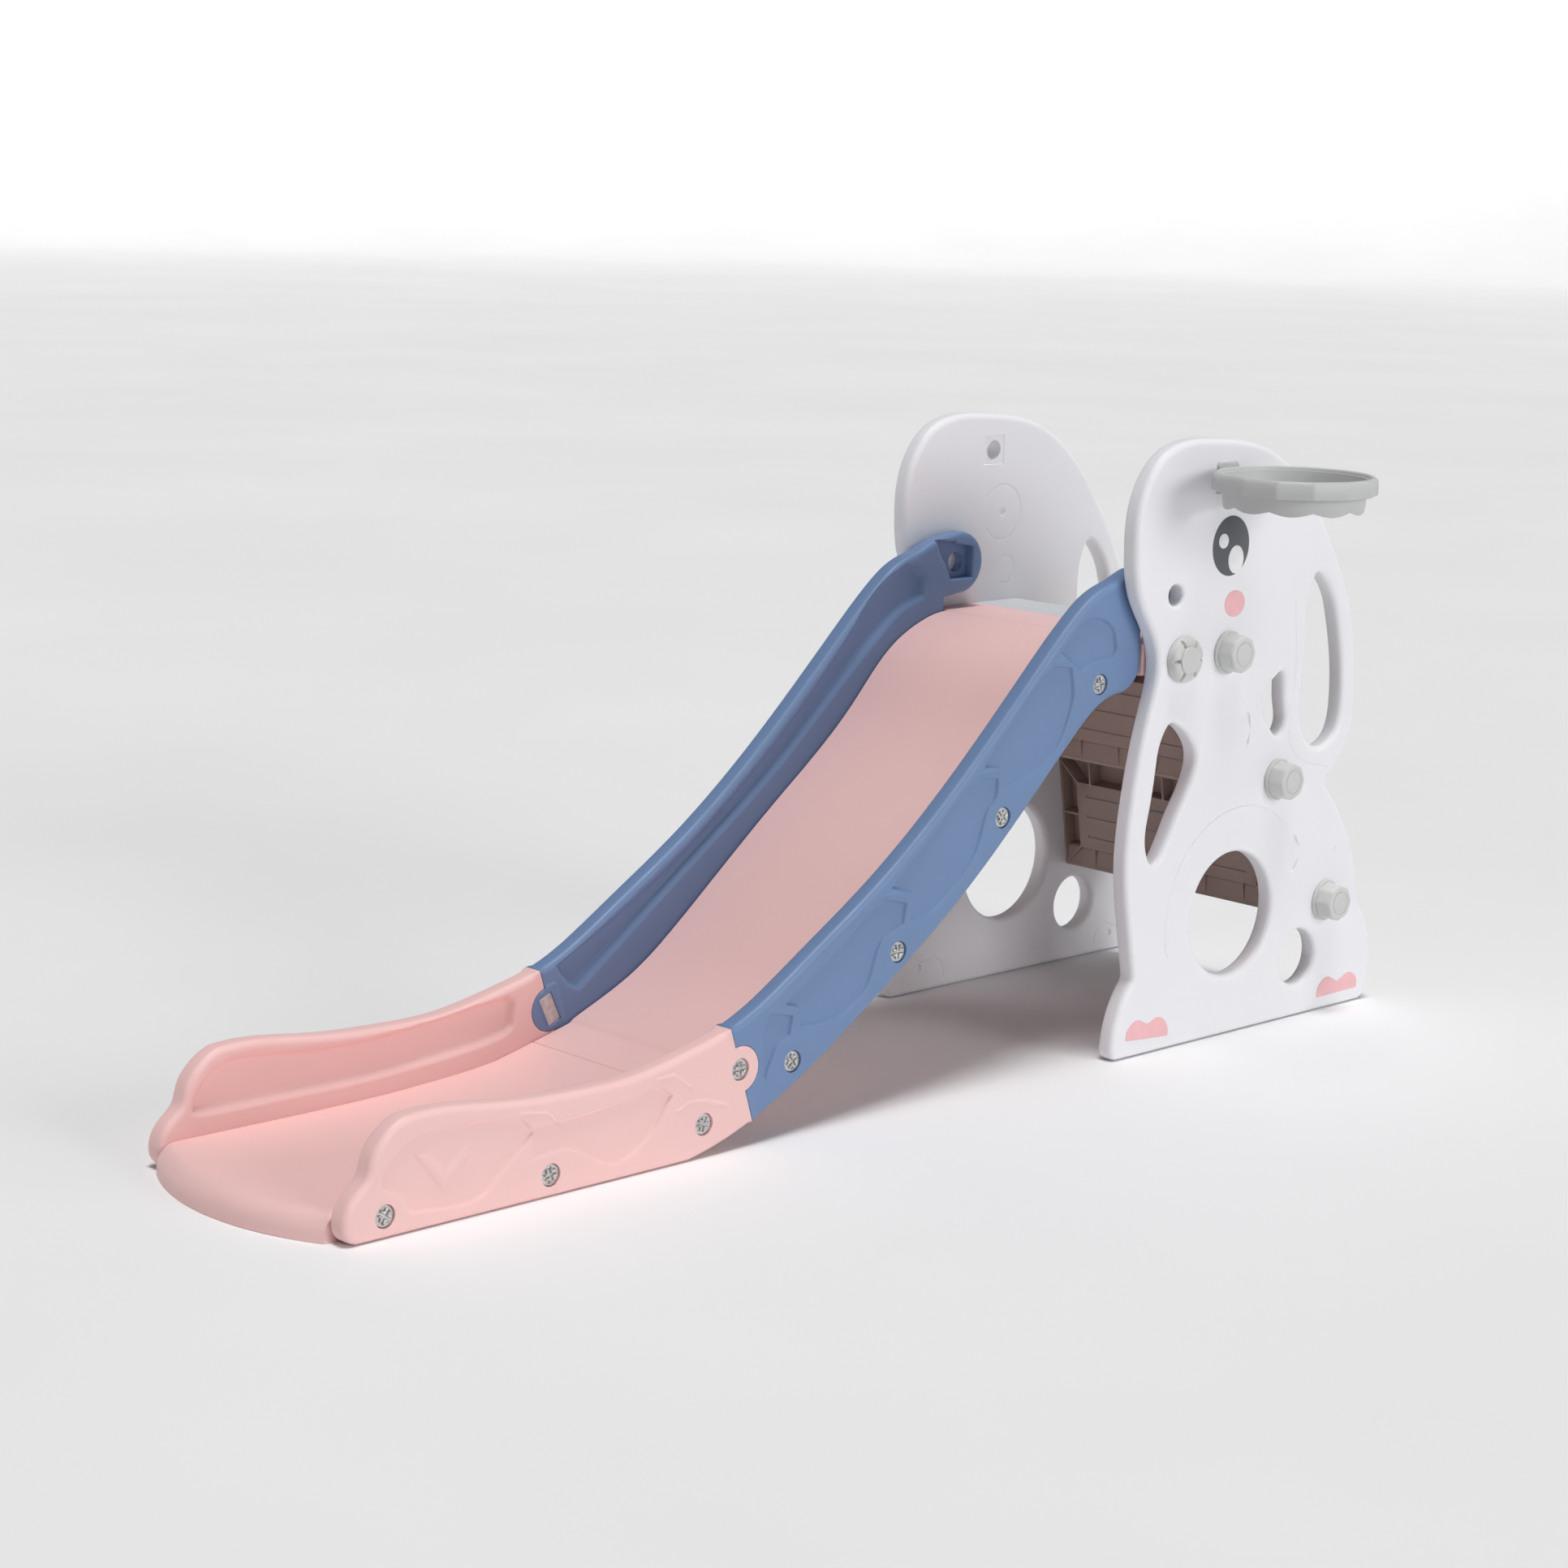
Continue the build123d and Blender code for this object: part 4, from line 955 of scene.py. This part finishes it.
# ---- the object's pieces --------------------------------------------------------------------
EDGE_WIDTHS = {"step_brown": 0, "platform_grey": 0, "screw_grey": 0.35, "bolt_steel": 0.4}
EDGE_WIDTH = 0.25                 # rounding of the other slots' softened edges
slots = {part["node"]: part["material_slot"] for part in frame["record"]["subparts"]}


def build_plates():
    """Panels and rails, left and right."""
    for kind, solid in (("side_panel", panel_solid()), ("upper_rail", upper_rail_solid()),
                        ("lower_rail", lower_rail_solid())):
        for side in SIDES:
            node = f"{side}_{kind}"
            shape = solid if side == "left" else mirrored(*solid)
            add_piece(f"moulded_{node}", shape, LOOKS[slots[node]], node)


def build_beds():
    for node, solid in (("upper_slide_bed", upper_bed_solid()),
                        ("lower_slide_bed", lower_bed_solid())):
        add_piece(f"moulded_{node}", solid, LOOKS[slots[node]], node)


def build_fasteners():
    """Knobs and caps on both sides."""
    solids = {place: turned(axis, KNOB_ROWS) for place, axis in KNOB_AXES.items()}
    solids["slide_cap"] = turned(CAP_AXIS, CAP_ROWS, CAP_NOTCHES)
    for place, solid in solids.items():
        for side in SIDES:
            node = f"{side}_{place}"
            shape = solid if side == "left" else mirrored(*solid)
            add_piece(f"turned_{node}", shape, LOOKS[slots[node]], node)


def build_screws_and_hoop():
    solid = screws_solid()
    for side in SIDES:
        node = f"{side}_rail_screws"
        shape = solid if side == "left" else mirrored(*solid)
        add_piece(f"moulded_{node}", shape, LOOKS[slots[node]], node, crease=50.0)
    add_piece("moulded_hoop", hoop_solid(), LOOKS["hoop_grey"], "hoop")


def build_softened():
    """Every node that has no piece of its own yet, with rounded edges."""
    for node in sorted(slots):
        if frame["nodes"][node].hide_render:
            continue
        width = EDGE_WIDTHS.get(slots[node], EDGE_WIDTH)
        softened(f"soft_{node}", node, LOOKS[slots[node]], width)


build_plates()
build_beds()
build_fasteners()
build_screws_and_hoop()
build_softened()


# ---- studio -------------------------------------------------------------------------------
CAMERA = Vector((-2.0498, -2.9347, 1.1699))
AZIMUTH, ELEVATION, ROLL = (math.radians(angle) for angle in (-43.884, 11.086, 1.497))
LENS, SENSOR = 78.32, 36.0


def add_camera():
    """A long-lens view from low beside the slide's exit, rolled a little."""
    forward = Vector((-math.sin(AZIMUTH) * math.cos(ELEVATION),
                      math.cos(AZIMUTH) * math.cos(ELEVATION), -math.sin(ELEVATION)))
    level = Vector((math.cos(AZIMUTH), math.sin(AZIMUTH), 0))
    upward = level.cross(forward)
    right = level * math.cos(ROLL) + upward * math.sin(ROLL)
    up = upward * math.cos(ROLL) - level * math.sin(ROLL)
    camera = bpy.data.objects.new("camera", bpy.data.cameras.new("camera"))
    camera.data.lens, camera.data.sensor_width = LENS, SENSOR
    facing = Matrix((right, up, -forward)).transposed().to_4x4()
    camera.matrix_world = Matrix.Translation(CAMERA) @ facing
    bpy.context.scene.collection.objects.link(camera)
    bpy.context.scene.camera = camera


def add_lamp(name, direction, strength, spread):
    """A distant soft lamp that shines along the direction, its apparent width in degrees."""
    lamp = bpy.data.lights.new(name, "SUN")
    lamp.energy, lamp.angle = strength, math.radians(spread)
    holder = bpy.data.objects.new(name, lamp)
    holder.rotation_mode = "QUATERNION"
    holder.rotation_quaternion = Vector(direction).to_track_quat("-Z", "Y")
    bpy.context.scene.collection.objects.link(holder)


FLOOR_R, COVE_R = 24.0, 3.0
FLOOR_X = 0.7                     # the floor's middle, below the object's
FLOOR_DROP = 0.0004               # keeps the floor just clear of the object's feet
WALL_GLOW = 0.5                   # light given off by the top of the cove


def add_floor():
    """A plain pale floor that curves up, far off, into a pale glowing wall all round."""
    turn = np.radians(np.linspace(0, 90, 13))
    profile = [(r, 0.0) for r in (2.0, 6.0, 12.0, FLOOR_R)]
    profile += [(FLOOR_R + COVE_R * math.sin(a), COVE_R * (1 - math.cos(a))) for a in turn[1:]]
    around = np.radians(np.arange(0, 360, 3))
    vertices = [(FLOOR_X, 0, -FLOOR_DROP)]
    for radius, height in profile:
        vertices += [(FLOOR_X + radius * math.cos(a), radius * math.sin(a), height - FLOOR_DROP)
                     for a in around]
    size = len(around)
    faces = [(0, 1 + i, 1 + (i + 1) % size) for i in range(size)]
    for first in range(1, 1 + size * (len(profile) - 1), size):
        faces += [(first + i, first + size + i, first + size + (i + 1) % size,
                   first + (i + 1) % size) for i in range(size)]
    mesh = bpy.data.meshes.new("floor")
    mesh.from_pydata(vertices, [], faces)
    mesh.polygons.foreach_set("use_smooth", [True] * len(mesh.polygons))
    m = Nodes("floor_pale")
    cloud = m.spread(m.noise(0.8, 3.0), 0.3, 0.7, 0.0, 1.0)
    m.link(m.mixed(cloud, linear(240, 240, 241), linear(244, 244, 245)),
           m.shader.inputs["Base Color"])
    m.link(m.spread(m.noise(3.0, 4.0), 0.3, 0.7, 0.75, 0.85), m.shader.inputs["Roughness"])
    m.link(m.bumped(m.noise(300.0, 2.0), 0.00005, 0.3), m.shader.inputs["Normal"])
    height = m.new("ShaderNodeSeparateXYZ")
    m.link(m.place, height.inputs["Vector"])
    m.shader.inputs["Emission Color"].default_value = (1, 1, 1, 1)
    m.link(m.spread(height.outputs["Z"], 0.0, COVE_R, 0.0, WALL_GLOW),
           m.shader.inputs["Emission Strength"])
    mesh.materials.append(m.material)
    floor = bpy.data.objects.new("floor", mesh)
    bpy.context.scene.collection.objects.link(floor)


def add_daylight(strength):
    """Even white light from all round."""
    world = bpy.data.worlds.new("studio")
    bpy.context.scene.world = world
    world.use_nodes = True
    background = world.node_tree.nodes["Background"]
    background.inputs["Color"].default_value = (1, 1, 1, 1)
    background.inputs["Strength"].default_value = strength


add_camera()
add_floor()
add_daylight(0.13)
add_lamp("low_key", (-0.2, 0.95, -0.22), 1.35, 30)
add_lamp("overhead", (0.06, 0.1, -0.97), 2.1, 20)
bpy.context.scene.view_settings.view_transform = "Standard"
